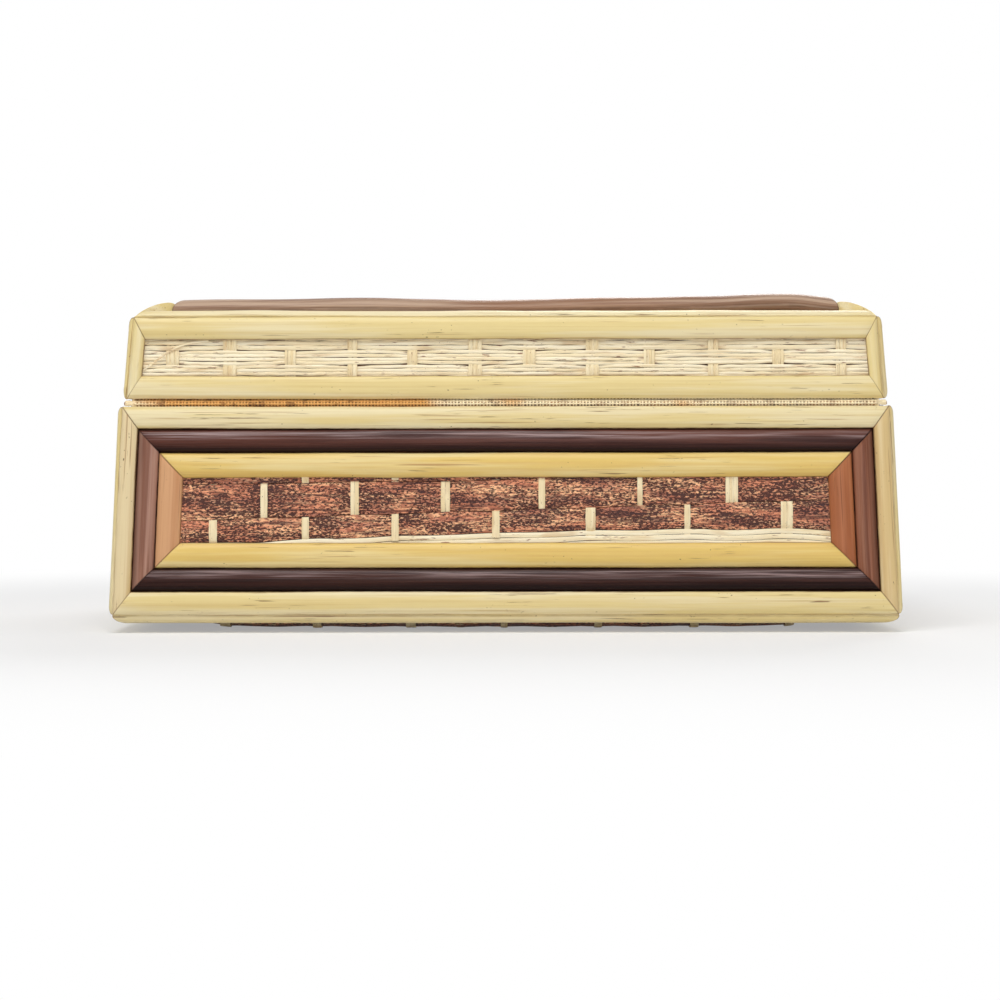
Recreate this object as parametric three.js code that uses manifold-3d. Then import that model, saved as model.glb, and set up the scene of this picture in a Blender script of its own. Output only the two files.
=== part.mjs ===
// A low rattan trinket chest. A thin board box and its lid are dressed on every face with a
// woven panel inside rings of half round cane, and a glued cloth tape hinges the lid along
// the back. Millimetres, +Z up, the hinge side towards -Y, origin on the ground in the middle.

import * as THREE from 'three';
import Module from 'manifold-3d';
import { mergeVertices } from 'three/addons/utils/BufferGeometryUtils.js';

const wasm = await Module();
wasm.setup();

// The chest as a whole, over the rails at its foot
const chestWidth = 240;
const chestDepth = 160;

// Boards
const wallThickness = 3;
const floorThickness = 3;
const lidBoardThickness = 3;
const baseWallHeight = 62.45;
const lidWallHeight = 25.15;
const baseLean = 2.8; // each base wall leans in by this much from foot to rim
const lidLean = 1.9; // and each lid wall by this much
const lidSetback = 1.1; // the lid's boards stand this far inside the base's

// Clearances between pieces that are glued or rest on each other
const glueGap = 0.3;
const boardGap = 0.3;
const mitreGap = 0.3;
const cornerGap = 0.2; // each rail keeps this far from the corner line it shares

// Woven layers
const sheetThickness = 0.9;
const darkPanelThickness = 0.9;
const lidPanelRise = 0.8; // the pale lid panel stands this far above its own sheet
const weaverRise = 0.3; // pale weavers stand this far above the panel
const weaverWidth = 2.6;
const weaverPitch = 14.4; // from one pale weaver to the next on the dark panels
const lidWeaverWidth = 3.2;
const lidWeaverPitch = 18.4;
const lidRowCount = 3; // rows of splints in a pale lid panel
const rowMargin = 0.8; // from a weaver's end to the edge of its row
const weaverSlack = 0.35; // room round a weaver where it comes through the dark panel

// Half round cane rails on the walls
const railRise = 2.5;
const cornerRise = 1.3; // height at which the rails of two faces meet along an edge
const heel = 0.4; // small square heel of an inner rail
const railRimDrop = 0.6; // the base's rails stop this far short of its rim
const lidRailRimRise = 1.15; // and the lid's rails this far above theirs
const paleRailWidth = 6.9;
const darkRailWidth = 7;
const innerRailWidth = 7.7;
const lidRailWidth = 7;
const paleUprightWidth = 5.2; // the upright rails of each ring have widths of their own
const darkUprightWidth = 6.7;
const innerUprightWidth = 7.6;
const lidUprightWidth = 4.1;
const archSteps = 8;

// Rails of the lid's top and of the underside
const edgeRailWidth = 10.4;
const edgeRailRise = 3.6;
const topDarkRailWidth = 8;
const topDarkRailRise = 5.2;
const topInnerRailWidth = 7.4;
const topInnerRailRise = 4;

// Bellied panels of the lid's top and of the underside
const topPanelEdge = 3;
const topPanelBelly = 5;
const topPanelShoulder = 16; // from the panel's edge to its flat middle
const undersideDepth = 6.6; // from the ground to the floor board
const undersideEdge = 2.6;
const undersideShoulder = 22;

// Cloth hinge tape
const tapeThickness = 0.9;
const tapeFlap = 6.5; // how far it is glued to each wall
const tapeBulge = 1.3; // how far the bare cloth stands out in the seam

// Places worked out from those sizes
const railSeat = glueGap + sheetThickness + glueGap;
const footHalfWidth = chestWidth / 2 - railSeat - railRise;
const footHalfDepth = chestDepth / 2 - railSeat - railRise;
const baseFoot = undersideDepth;
const baseRim = baseFoot + baseWallHeight;
const lidRim = baseRim + boardGap;
const lidTop = lidRim + lidWallHeight;
const lidSeamHalfWidth = footHalfWidth - baseLean - lidSetback;
const lidSeamHalfDepth = footHalfDepth - baseLean - lidSetback;
const seamMiddle = baseRim + boardGap / 2;
const wallRingsWidth = paleRailWidth + darkRailWidth + innerRailWidth;
const wallUprightsWidth = paleUprightWidth + darkUprightWidth + innerUprightWidth;
const wallPanelInsets = [wallRingsWidth + glueGap, wallUprightsWidth + glueGap];
const lidPanelInsets = [lidRailWidth + glueGap, lidUprightWidth + glueGap];
const topRingsWidth = edgeRailWidth + topDarkRailWidth + topInnerRailWidth;

// Colours and finishes
const finishes = {
  board: { color: 0xc9a978, roughness: 0.85 },
  pale: { color: 0xe6d29a, roughness: 0.5 },
  gold: { color: 0xdcb468, roughness: 0.5 },
  tan: { color: 0xc98f5c, roughness: 0.5 },
  dark: { color: 0x4b3033, roughness: 0.35 },
  bark: { color: 0x7c4a44, roughness: 0.8 },
  weaver: { color: 0xe8d6a8, roughness: 0.7 },
  cream: { color: 0xe9d9b0, roughness: 0.7 },
  cloth: { color: 0xb9965a, roughness: 0.95 },
};

// A pair for level rails and uprights alike
const both = (size) => [size, size];

// A tapered box of boards, as half sizes of its outer faces at any height
function boardShape(low, high, lowHalfWidth, lowHalfDepth, lean) {
  const slope = lean / (high - low);
  return {
    halfWidth: (z) => lowHalfWidth - slope * (z - low),
    halfDepth: (z) => lowHalfDepth - slope * (z - low),
  };
}

// The four outer wall faces of such a box. u runs along the wall, v is the height,
// and rise is the distance out from the boards.
function wallsOf(shape) {
  const { halfWidth, halfDepth } = shape;
  return {
    back: { half: halfWidth, at: (u, v, rise) => new THREE.Vector3(u, -(halfDepth(v) + rise), v) },
    front: { half: halfWidth, at: (u, v, rise) => new THREE.Vector3(u, halfDepth(v) + rise, v) },
    left: { half: halfDepth, at: (u, v, rise) => new THREE.Vector3(-(halfWidth(v) + rise), u, v) },
    right: { half: halfDepth, at: (u, v, rise) => new THREE.Vector3(halfWidth(v) + rise, u, v) },
  };
}

// A four sided outline on a wall, which follows the wall's taper. corner(i, inset, sideInset)
// gives its corners, from the lower left one round.
function wallOutline(wall, low, high, overhang) {
  function corner(i, inset, sideInset = inset) {
    const v = i < 2 ? low + inset : high - inset;
    const reach = wall.half(v) + overhang - sideInset;
    return [i === 0 || i === 3 ? -reach : reach, v];
  }
  return { at: wall.at, corner };
}

// The same for a level face, such as the lid's top
function levelOutline(at, halfWidth, halfDepth) {
  function corner(i, inset, sideInset = inset) {
    const u = halfWidth - sideInset;
    const v = halfDepth - inset;
    return [i === 0 || i === 3 ? -u : u, i < 2 ? -v : v];
  }
  return { at, corner };
}

// Six times the volume that a triangle list encloses, positive when its faces point out
function signedVolume(points, triangles) {
  let sum = 0;
  for (const [a, b, c] of triangles) {
    sum += points[a].dot(new THREE.Vector3().crossVectors(points[b], points[c]));
  }
  return sum;
}

// A closed skin over a row of loops with as many points each. With ring, the last loop
// joins the first; without, the end loops are closed by flat fans.
function skin(loops, ring = false) {
  const count = loops[0].length;
  const points = loops.flat();
  const triangles = [];
  const spans = ring ? loops.length : loops.length - 1;
  for (let span = 0; span < spans; span += 1) {
    const here = span * count;
    const next = ((span + 1) % loops.length) * count;
    for (let i = 0; i < count; i += 1) {
      const j = (i + 1) % count;
      triangles.push([here + i, here + j, next + j]);
      triangles.push([here + i, next + j, next + i]);
    }
  }
  if (!ring) {
    const last = (loops.length - 1) * count;
    for (let i = 1; i < count - 1; i += 1) {
      triangles.push([0, i + 1, i]);
      triangles.push([last, last + i, last + i + 1]);
    }
  }
  if (signedVolume(points, triangles) < 0) {
    triangles.forEach((triangle) => triangle.reverse());
  }
  const geometry = new THREE.BufferGeometry().setFromPoints(points);
  geometry.setIndex(triangles.flat());
  geometry.computeVertexNormals();
  return geometry;
}

// A plate between two rises over an outline, set in from it by insets
function plate(outline, insets, lowRise, highRise) {
  return skin([rectangle(outline, insets, lowRise), rectangle(outline, insets, highRise)]);
}

function rectangle(outline, insets, rise) {
  return [0, 1, 2, 3].map((i) => outline.at(...outline.corner(i, ...insets), rise));
}

// Half round section of a cane: distances in from its outer edge, and rises
function caneSection(width, rise, edgeRise) {
  const start = Math.asin(edgeRise / rise);
  const section = [[edgeRise, 0]];
  for (let step = 0; step <= archSteps; step += 1) {
    const angle = start + ((Math.PI - start) * step) / archSteps;
    const across = (Math.cos(start) - Math.cos(angle)) / (Math.cos(start) + 1);
    section.push([width * across, rise * Math.sin(angle)]);
  }
  return section;
}

// The section of a cane ring at each of its four mitres. Insets and widths are pairs, for
// its level rails and for its uprights.
function caneLoops(outline, { insets, widths, seat, rise, edgeRise }) {
  const [start, sideStart] = insets.map((inset) => inset + mitreGap / 2);
  const [width, sideWidth] = widths.map((size) => size - mitreGap);
  const section = caneSection(width, rise, edgeRise);
  const sideSection = caneSection(sideWidth, rise, edgeRise);
  return [0, 1, 2, 3].map((i) =>
    section.map(([across, up], step) => {
      const [sideAcross] = sideSection[step];
      return outline.at(...outline.corner(i, start + across, sideStart + sideAcross), seat + up);
    }));
}

// One of the four rails of such a ring, cut back from its mitres
function caneRail(loops, side) {
  const first = loops[side];
  const second = loops[(side + 1) % loops.length];
  const trim = new THREE.Vector3().subVectors(second[0], first[0]).normalize();
  trim.multiplyScalar(mitreGap / Math.SQRT2);
  return skin([
    first.map((point) => point.clone().add(trim)),
    second.map((point) => point.clone().sub(trim)),
  ]);
}

// Joins and cuts of closed shapes
function toSolid(geometry) {
  const bare = geometry.clone();
  bare.deleteAttribute('normal');
  bare.deleteAttribute('uv');
  const merged = mergeVertices(bare);
  const vertProperties = new Float32Array(merged.attributes.position.array);
  const triVerts = new Uint32Array(merged.index.array);
  return new wasm.Manifold(new wasm.Mesh({ numProp: 3, vertProperties, triVerts }));
}

function fromSolid(solid) {
  const mesh = solid.getMesh();
  const geometry = new THREE.BufferGeometry();
  geometry.setAttribute('position', new THREE.BufferAttribute(mesh.vertProperties, 3));
  geometry.setIndex(new THREE.BufferAttribute(mesh.triVerts, 1));
  geometry.computeVertexNormals();
  return geometry;
}

const added = (geometry, extras) =>
  fromSolid(extras.reduce((solid, extra) => solid.add(toSolid(extra)), toSolid(geometry)));

const cut = (geometry, cutters) =>
  fromSolid(cutters.reduce((solid, cutter) => solid.subtract(toSolid(cutter)), toSolid(geometry)));

// A small block on a wall face
function block(at, [u, halfWidth], [low, high], [lowRise, highRise]) {
  const left = u - halfWidth;
  const right = u + halfWidth;
  const corners = [[left, low], [right, low], [right, high], [left, high]];
  return skin([lowRise, highRise].map((rise) => corners.map(([x, v]) => at(x, v, rise))));
}

// The named pieces
const chest = new THREE.Group();
const base = new THREE.Group();
const lid = new THREE.Group();
chest.add(base, lid);

function piece(group, name, geometry, finish) {
  const material = new THREE.MeshStandardMaterial({ metalness: 0, ...finishes[finish] });
  const mesh = new THREE.Mesh(geometry, material);
  mesh.name = name;
  group.add(mesh);
}

// Four wall boards. The back and front ones run the whole width, and the end ones fit
// between them.
function wallBoards(group, prefix, shape, low, high) {
  const inner = (half) => half - wallThickness;
  const levels = [low, high];
  for (const [name, way] of [['back', -1], ['front', 1]]) {
    const loops = levels.map((z) => {
      const x = shape.halfWidth(z);
      const outerY = way * shape.halfDepth(z);
      const innerY = way * inner(shape.halfDepth(z));
      return [
        new THREE.Vector3(-x, outerY, z),
        new THREE.Vector3(x, outerY, z),
        new THREE.Vector3(x, innerY, z),
        new THREE.Vector3(-x, innerY, z),
      ];
    });
    piece(group, `${prefix}_${name}_board`, skin(loops), 'board');
  }
  for (const [name, way] of [['left', -1], ['right', 1]]) {
    const loops = levels.map((z) => {
      const y = inner(shape.halfDepth(z)) - boardGap;
      const outerX = way * shape.halfWidth(z);
      const innerX = way * inner(shape.halfWidth(z));
      return [
        new THREE.Vector3(outerX, -y, z),
        new THREE.Vector3(outerX, y, z),
        new THREE.Vector3(innerX, y, z),
        new THREE.Vector3(innerX, -y, z),
      ];
    });
    piece(group, `${prefix}_${name}_board`, skin(loops), 'board');
  }
}

// A level board between two heights, with its edges at a distance from the shape's faces
function levelBoard(group, name, shape, low, high, inset) {
  const loops = [low, high].map((z) => {
    const x = shape.halfWidth(z) - inset;
    const y = shape.halfDepth(z) - inset;
    return [
      new THREE.Vector3(-x, -y, z),
      new THREE.Vector3(x, -y, z),
      new THREE.Vector3(x, y, z),
      new THREE.Vector3(-x, y, z),
    ];
  });
  piece(group, name, skin(loops), 'board');
}

const baseShape = boardShape(baseFoot, baseRim, footHalfWidth, footHalfDepth, baseLean);
const lidShape = boardShape(lidRim, lidTop, lidSeamHalfWidth, lidSeamHalfDepth, lidLean);
const baseWalls = wallsOf(baseShape);
const lidWalls = wallsOf(lidShape);
const edgeOverhang = railSeat + cornerRise - cornerGap;

// Base boards
wallBoards(base, 'base', baseShape, baseFoot, baseRim);
const floorTop = baseFoot + floorThickness;
levelBoard(base, 'base_floor_board', baseShape, baseFoot, floorTop, wallThickness + boardGap);

// Lid boards, with the top board lying over the walls
wallBoards(lid, 'lid', lidShape, lidRim, lidTop - lidBoardThickness - boardGap);
levelBoard(lid, 'lid_top_board', lidShape, lidTop - lidBoardThickness, lidTop, 0);

// Pale weavers that come up between dark splints, in two rows that take turns
function wallWeavers(outline, grow) {
  const [, low] = outline.corner(0, ...wallPanelInsets);
  const [reach, high] = outline.corner(2, ...wallPanelInsets);
  const split = (low + high) / 2;
  const rows = [[low + rowMargin, split - rowMargin / 2], [split + rowMargin / 2, high - rowMargin]];
  const most = Math.floor((reach - weaverWidth) / weaverPitch);
  const top = railSeat + darkPanelThickness + weaverRise + grow;
  const bottom = glueGap + sheetThickness / 2;
  const weavers = [];
  for (let k = -most; k <= most; k += 1) {
    const [from, to] = rows[Math.abs(k) % 2];
    const across = [k * weaverPitch, weaverWidth / 2 + grow];
    weavers.push(block(outline.at, across, [from - grow, to + grow], [bottom, top]));
  }
  return weavers;
}

// The three rings on each wall of the base, from its edge inwards
const wallRings = [
  {
    name: 'pale',
    insets: both(0),
    widths: [paleRailWidth, paleUprightWidth],
    edgeRise: cornerRise,
    finish: 'pale',
  },
  {
    name: 'dark',
    insets: [paleRailWidth, paleUprightWidth],
    widths: [darkRailWidth, darkUprightWidth],
    edgeRise: heel,
    finish: 'dark',
  },
  {
    name: 'inner',
    insets: [paleRailWidth + darkRailWidth, paleUprightWidth + darkUprightWidth],
    widths: [innerRailWidth, innerUprightWidth],
    edgeRise: heel,
    finish: 'gold',
  },
];

// One wall of the base: a pale sheet behind, three rings of cane, and the dark panel
function dressBaseWall(side, separateRails) {
  const wall = baseWalls[side];
  const railLow = baseFoot - cornerRise + cornerGap;
  const outline = wallOutline(wall, railLow, baseRim - railRimDrop, edgeOverhang);
  const sheetTop = side === 'back' ? seamMiddle - tapeFlap - glueGap : baseRim - railRimDrop;
  const sheetOutline = wallOutline(wall, baseFoot, sheetTop, 0);
  const sheet = plate(sheetOutline, both(0), glueGap, glueGap + sheetThickness);
  piece(base, `base_${side}_weaver_sheet`, added(sheet, wallWeavers(outline, 0)), 'weaver');
  const panel = plate(outline, wallPanelInsets, railSeat, railSeat + darkPanelThickness);
  piece(base, `base_${side}_dark_panel`, cut(panel, wallWeavers(outline, weaverSlack)), 'bark');
  for (const ring of wallRings) {
    const loops = caneLoops(outline, { ...ring, seat: railSeat, rise: railRise });
    if (separateRails) {
      ['low', 'right', 'high', 'left'].forEach((place, i) => {
        const short = ring.name === 'inner' && i % 2 === 1;
        const finish = short ? 'tan' : ring.finish;
        piece(base, `base_${side}_${ring.name}_rail_${place}`, caneRail(loops, i), finish);
      });
    } else {
      piece(base, `base_${side}_${ring.name}_ring`, skin(loops, true), ring.finish);
    }
  }
}

dressBaseWall('back', true);
dressBaseWall('front', false);
dressBaseWall('left', false);
dressBaseWall('right', false);

// Underside: a pale ring and the dark panel that bellies down to the ground
const undersideAt = (u, v, rise) => new THREE.Vector3(u, v, baseFoot - rise);
const undersideHalfWidth = footHalfWidth + edgeOverhang;
const undersideHalfDepth = footHalfDepth + edgeOverhang;
const undersideOutline = levelOutline(undersideAt, undersideHalfWidth, undersideHalfDepth);
const edgeRing = {
  insets: both(-mitreGap / 2),
  widths: both(edgeRailWidth),
  seat: glueGap,
  rise: edgeRailRise,
  edgeRise: cornerRise,
};
piece(base, 'underside_pale_ring', skin(caneLoops(undersideOutline, edgeRing), true), 'pale');
const undersidePanel = skin([
  rectangle(undersideOutline, both(edgeRailWidth + glueGap), glueGap),
  rectangle(undersideOutline, both(edgeRailWidth + glueGap), glueGap + undersideEdge),
  rectangle(undersideOutline, both(edgeRailWidth + undersideShoulder), undersideDepth),
]);
piece(base, 'underside_dark_panel', undersidePanel, 'bark');

// Rows of pale weavers over the lid's pale panel
function lidWeavers(outline, sheetHigh) {
  const [, low] = outline.corner(0, ...lidPanelInsets);
  const [reach, high] = outline.corner(2, ...lidPanelInsets);
  const rowHeight = (high - low) / lidRowCount;
  const most = Math.floor((reach - lidWeaverWidth) / lidWeaverPitch);
  const weavers = [];
  for (let k = -most; k <= most; k += 1) {
    for (let row = Math.abs(k) % 2; row < lidRowCount; row += 2) {
      const span = [low + row * rowHeight + weaverRise, low + (row + 1) * rowHeight - weaverRise];
      const rises = [sheetHigh, sheetHigh + lidPanelRise + weaverRise];
      weavers.push(block(outline.at, [k * lidWeaverPitch, lidWeaverWidth / 2], span, rises));
    }
  }
  return weavers;
}

// One wall of the lid: a pale woven panel on its sheet, inside one ring of cane
function dressLidWall(side, separateRails) {
  const wall = lidWalls[side];
  const railHigh = lidTop + cornerRise - cornerGap;
  const outline = wallOutline(wall, lidRim + lidRailRimRise, railHigh, edgeOverhang);
  const sheetLow = side === 'back' ? seamMiddle + tapeFlap + glueGap : lidRim + lidRailRimRise;
  const sheetOutline = wallOutline(wall, sheetLow, lidTop, 0);
  const sheetHigh = glueGap + sheetThickness;
  const panel = skin([
    rectangle(sheetOutline, both(0), glueGap),
    rectangle(sheetOutline, both(0), sheetHigh),
    rectangle(outline, lidPanelInsets, sheetHigh),
    rectangle(outline, lidPanelInsets, sheetHigh + lidPanelRise),
  ]);
  piece(lid, `lid_${side}_woven_panel`, added(panel, lidWeavers(outline, sheetHigh)), 'cream');
  const loops = caneLoops(outline, {
    insets: both(0),
    widths: [lidRailWidth, lidUprightWidth],
    seat: railSeat,
    rise: railRise,
    edgeRise: cornerRise,
  });
  if (separateRails) {
    ['low', 'right', 'high', 'left'].forEach((place, i) => {
      piece(lid, `lid_${side}_rail_${place}`, caneRail(loops, i), 'pale');
    });
  } else {
    piece(lid, `lid_${side}_ring`, skin(loops, true), 'pale');
  }
}

dressLidWall('back', true);
dressLidWall('front', false);
dressLidWall('left', false);
dressLidWall('right', false);

// Lid top: a pale ring at the edge, a sheet inside it, two more rings and the dark panel
const topAt = (u, v, rise) => new THREE.Vector3(u, v, lidTop + rise);
const topHalfWidth = lidShape.halfWidth(lidTop) + edgeOverhang;
const topHalfDepth = lidShape.halfDepth(lidTop) + edgeOverhang;
const topOutline = levelOutline(topAt, topHalfWidth, topHalfDepth);
piece(lid, 'lid_top_pale_ring', skin(caneLoops(topOutline, edgeRing), true), 'pale');
const topSheetInsets = both(edgeRailWidth + glueGap);
const topSheet = plate(topOutline, topSheetInsets, glueGap, glueGap + sheetThickness);
piece(lid, 'lid_top_sheet', topSheet, 'weaver');
const topDark = {
  insets: both(edgeRailWidth),
  widths: both(topDarkRailWidth),
  seat: railSeat,
  rise: topDarkRailRise,
  edgeRise: heel,
};
piece(lid, 'lid_top_dark_ring', skin(caneLoops(topOutline, topDark), true), 'dark');
const topInner = {
  insets: both(edgeRailWidth + topDarkRailWidth),
  widths: both(topInnerRailWidth),
  seat: railSeat,
  rise: topInnerRailRise,
  edgeRise: heel,
};
piece(lid, 'lid_top_inner_ring', skin(caneLoops(topOutline, topInner), true), 'gold');
const topPanel = skin([
  rectangle(topOutline, both(topRingsWidth + glueGap), railSeat),
  rectangle(topOutline, both(topRingsWidth + glueGap), railSeat + topPanelEdge),
  rectangle(topOutline, both(topRingsWidth + topPanelShoulder), railSeat + topPanelBelly),
]);
piece(lid, 'lid_top_dark_panel', topPanel, 'bark');

// Cloth tape: a flap glued to each back board, and the bare cloth in the seam between
function hingeTape() {
  const inner = glueGap;
  const outer = glueGap + tapeThickness;
  const bulge = outer + tapeBulge;
  const low = seamMiddle - tapeFlap;
  const high = seamMiddle + tapeFlap;
  const bareLow = baseRim - railRimDrop + glueGap;
  const bareHigh = lidRim + lidRailRimRise - glueGap;
  const bareBevel = (bareHigh - bareLow) / 4;
  const baseY = (z, rise) => -(baseShape.halfDepth(z) + rise);
  const lidY = (z, rise) => -(lidShape.halfDepth(z) + rise);
  const section = [
    [baseY(low, inner), low],
    [baseY(baseRim, inner), lidRim],
    [lidY(lidRim, inner), lidRim + glueGap],
    [lidY(high, inner), high],
    [lidY(high, outer), high],
    [lidY(bareHigh, outer), bareHigh],
    [baseY(seamMiddle, bulge), bareHigh - bareBevel],
    [baseY(seamMiddle, bulge), bareLow + bareBevel],
    [baseY(bareLow, outer), bareLow],
    [baseY(low, outer), low],
  ];
  const reach = lidShape.halfWidth(lidRim);
  const shape = new THREE.Shape(section.map(([y, z]) => new THREE.Vector2(y, z)));
  const geometry = new THREE.ExtrudeGeometry(shape, { depth: 2 * reach, bevelEnabled: false });
  const alongX = new THREE.Matrix4().set(0, 0, 1, -reach, 1, 0, 0, 0, 0, 1, 0, 0, 0, 0, 0, 1);
  return geometry.applyMatrix4(alongX);
}

piece(base, 'cloth_hinge_tape', hingeTape(), 'cloth');

export default chest;
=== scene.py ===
# %% [markdown]
# A rattan trinket chest, dressed in half round cane, woven splints and a cloth hinge.
#
# The boards, the rails' places and the hinge come as a fixed frame, in metres. Each piece
# made here stands for one of the frame's plain solids and takes its size and place from
# it, so the first step is to load that frame.

# %% Load the frame
import math
import random

import bmesh
import bpy
from mathutils import Matrix, Vector


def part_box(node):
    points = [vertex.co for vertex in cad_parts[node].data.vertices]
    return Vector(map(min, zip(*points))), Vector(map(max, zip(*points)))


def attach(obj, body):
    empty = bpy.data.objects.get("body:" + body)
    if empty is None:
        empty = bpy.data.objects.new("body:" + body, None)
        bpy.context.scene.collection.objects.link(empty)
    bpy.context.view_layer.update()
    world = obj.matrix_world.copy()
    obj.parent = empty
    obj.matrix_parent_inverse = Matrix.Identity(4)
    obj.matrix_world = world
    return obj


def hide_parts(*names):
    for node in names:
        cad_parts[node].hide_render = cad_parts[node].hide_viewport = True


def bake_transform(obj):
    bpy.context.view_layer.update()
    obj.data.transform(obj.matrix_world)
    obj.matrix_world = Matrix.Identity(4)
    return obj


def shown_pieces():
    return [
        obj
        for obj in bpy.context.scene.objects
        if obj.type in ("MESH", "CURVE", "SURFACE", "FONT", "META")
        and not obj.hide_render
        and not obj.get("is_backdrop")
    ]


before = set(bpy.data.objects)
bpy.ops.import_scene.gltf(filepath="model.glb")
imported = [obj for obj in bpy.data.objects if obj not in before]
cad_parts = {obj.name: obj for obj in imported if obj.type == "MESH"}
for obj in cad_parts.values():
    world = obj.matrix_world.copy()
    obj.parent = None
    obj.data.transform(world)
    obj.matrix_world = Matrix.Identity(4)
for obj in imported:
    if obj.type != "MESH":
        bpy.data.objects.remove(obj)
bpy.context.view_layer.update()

mm = 0.001
bpy.ops.object.select_all(action="DESELECT")
print("nodes in the frame:", len(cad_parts))

# %% [markdown]
# The camera comes first, because everything is judged through it. The chest is seen from
# its hinge side, almost level and from about nine tenths of a metre, so a long lens and a
# small downward tilt give the right weak perspective.

# %% Camera
FOCAL_PIXELS = 2728.0
IMAGE_PIXELS = 1000.0
SENSOR_WIDTH = 36.0
CAMERA_PLACE = (2.4 * mm, -900.0 * mm, 54.4 * mm)
CAMERA_YAW = math.radians(0.28)
CAMERA_PITCH = math.radians(1.0)
CAMERA_ROLL = math.radians(-0.086)
NEAREST, FARTHEST = 0.01, 20.0

bpy.ops.object.camera_add(location=CAMERA_PLACE)
camera = bpy.context.object
camera.name = "camera"
camera.data.sensor_width = SENSOR_WIDTH
camera.data.lens = FOCAL_PIXELS / IMAGE_PIXELS * SENSOR_WIDTH
camera.data.clip_start = NEAREST
camera.data.clip_end = FARTHEST
upright = Matrix.Rotation(math.pi / 2 - CAMERA_PITCH, 4, "X")
turned = Matrix.Rotation(CAMERA_YAW, 4, "Z")
rolled = Matrix.Rotation(CAMERA_ROLL, 4, "Z")
camera.rotation_euler = (turned @ upright @ rolled).to_euler()
bpy.context.scene.camera = camera
print("lens in mm:", round(camera.data.lens, 1))

# %% [markdown]
# The light is that of a plain product table: a big soft lamp above the camera, weaker
# ones on each side, low in front and behind, and a pale world that fills the shadows.
# Colours are shown as they are written, so the view transform is Standard. Seen directly
# or in a gloss, the world is plain white, and away from the chest the floor turns white too.

# %% Light, floor and backdrop
WORLD_FILL = 0.20
WHITE = (1.0, 1.0, 1.0, 1.0)
LAMPS = (
    ("top_lamp", (-0.15, -0.62, 1.05), (0.0, 0.0, 0.05), 0.6, 8.7),
    ("left_lamp", (-1.10, -0.75, 0.55), (0.0, 0.0, 0.05), 0.6, 1.4),
    ("right_lamp", (1.10, -0.60, 0.50), (0.0, 0.0, 0.05), 0.6, 1.2),
    ("low_lamp", (0.10, -1.40, 0.14), (0.0, 0.0, 0.03), 0.5, 2.8),
    ("far_lamp", (0.30, 1.10, 0.90), (0.0, 0.0, 0.05), 0.7, 7.0),
)
FLOOR_SIZE = 8.0
FLOOR_LEVEL = -0.05 * mm
FLOOR_GREY = (0.90, 0.90, 0.90, 1.0)
FLOOR_WHITE_FROM = 0.20
FLOOR_WHITE_TO = 0.42
FLOOR_WHITE_NEAR = 0.35
bpy.context.scene.view_settings.view_transform = "Standard"


def add_lamp(name, place, target, size, watts):
    bpy.ops.object.light_add(type="AREA", location=place)
    lamp = bpy.context.object
    lamp.name = name
    lamp.data.size = size
    lamp.data.energy = watts
    look = Vector(target) - Vector(place)
    lamp.rotation_euler = look.to_track_quat("-Z", "Y").to_euler()


def fill_inputs(tree, node, inputs):
    """Links each input of a node to the output given for it, or writes the value given."""
    for place, value in inputs.items():
        if isinstance(value, bpy.types.NodeSocket):
            tree.links.new(value, node.inputs[place])
        else:
            node.inputs[place].default_value = value


def add_node(tree, kind, inputs=None, **settings):
    node = tree.nodes.new("ShaderNode" + kind)
    for setting, value in settings.items():
        setattr(node, setting, value)
    fill_inputs(tree, node, inputs or {})
    return node


def seen_directly(tree):
    """1 for a ray from the camera, or one that a gloss or glass sends on, otherwise 0."""
    rays = add_node(tree, "LightPath")
    found = rays.outputs["Is Camera Ray"]
    for kind in ("Is Glossy Ray", "Is Transmission Ray"):
        either = add_node(tree, "Math", {0: found, 1: rays.outputs[kind]}, operation="MAXIMUM")
        found = either.outputs[0]
    return found


for lamp_facts in LAMPS:
    add_lamp(*lamp_facts)

world = bpy.data.worlds.new("studio")
bpy.context.scene.world = world
world.use_nodes = True
sky = world.node_tree
fill = sky.nodes["Background"]
fill_inputs(sky, fill, {"Color": WHITE, "Strength": WORLD_FILL})
white = add_node(sky, "Background", {"Color": WHITE, "Strength": 1.0})
choice = add_node(
    sky, "MixShader", {0: seen_directly(sky), 1: fill.outputs[0], 2: white.outputs[0]}
)
fill_inputs(sky, sky.nodes["World Output"], {"Surface": choice.outputs[0]})

bpy.ops.mesh.primitive_plane_add(size=FLOOR_SIZE, location=(0.0, 0.0, FLOOR_LEVEL))
floor = bpy.context.object
floor.name = "floor"
floor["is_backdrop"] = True
floor_paint = bpy.data.materials.new("floor_paint")
floor_paint.use_nodes = True
layers = floor_paint.node_tree
grey = layers.nodes["Principled BSDF"]
fill_inputs(layers, grey, {"Base Color": FLOOR_GREY, "Roughness": 0.9, "Specular IOR Level": 0.1})
floor_place = add_node(layers, "TexCoord").outputs["Object"]
distance = add_node(layers, "VectorMath", {0: floor_place}, operation="LENGTH")
far = add_node(layers, "MapRange", {
    "Value": distance.outputs["Value"], "From Min": FLOOR_WHITE_FROM,
    "From Max": FLOOR_WHITE_TO, "To Min": FLOOR_WHITE_NEAR,
}, interpolation_type="SMOOTHSTEP")
whitened = add_node(
    layers, "Math", {0: far.outputs["Result"], 1: seen_directly(layers)}, operation="MULTIPLY"
)
glow = add_node(layers, "Emission", {"Color": WHITE})
blended = add_node(
    layers, "MixShader", {0: whitened.outputs[0], 1: grey.outputs[0], 2: glow.outputs[0]}
)
fill_inputs(layers, layers.nodes["Material Output"], {"Surface": blended.outputs[0]})
floor.data.materials.append(floor_paint)
print("lamps:", len(LAMPS))

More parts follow.
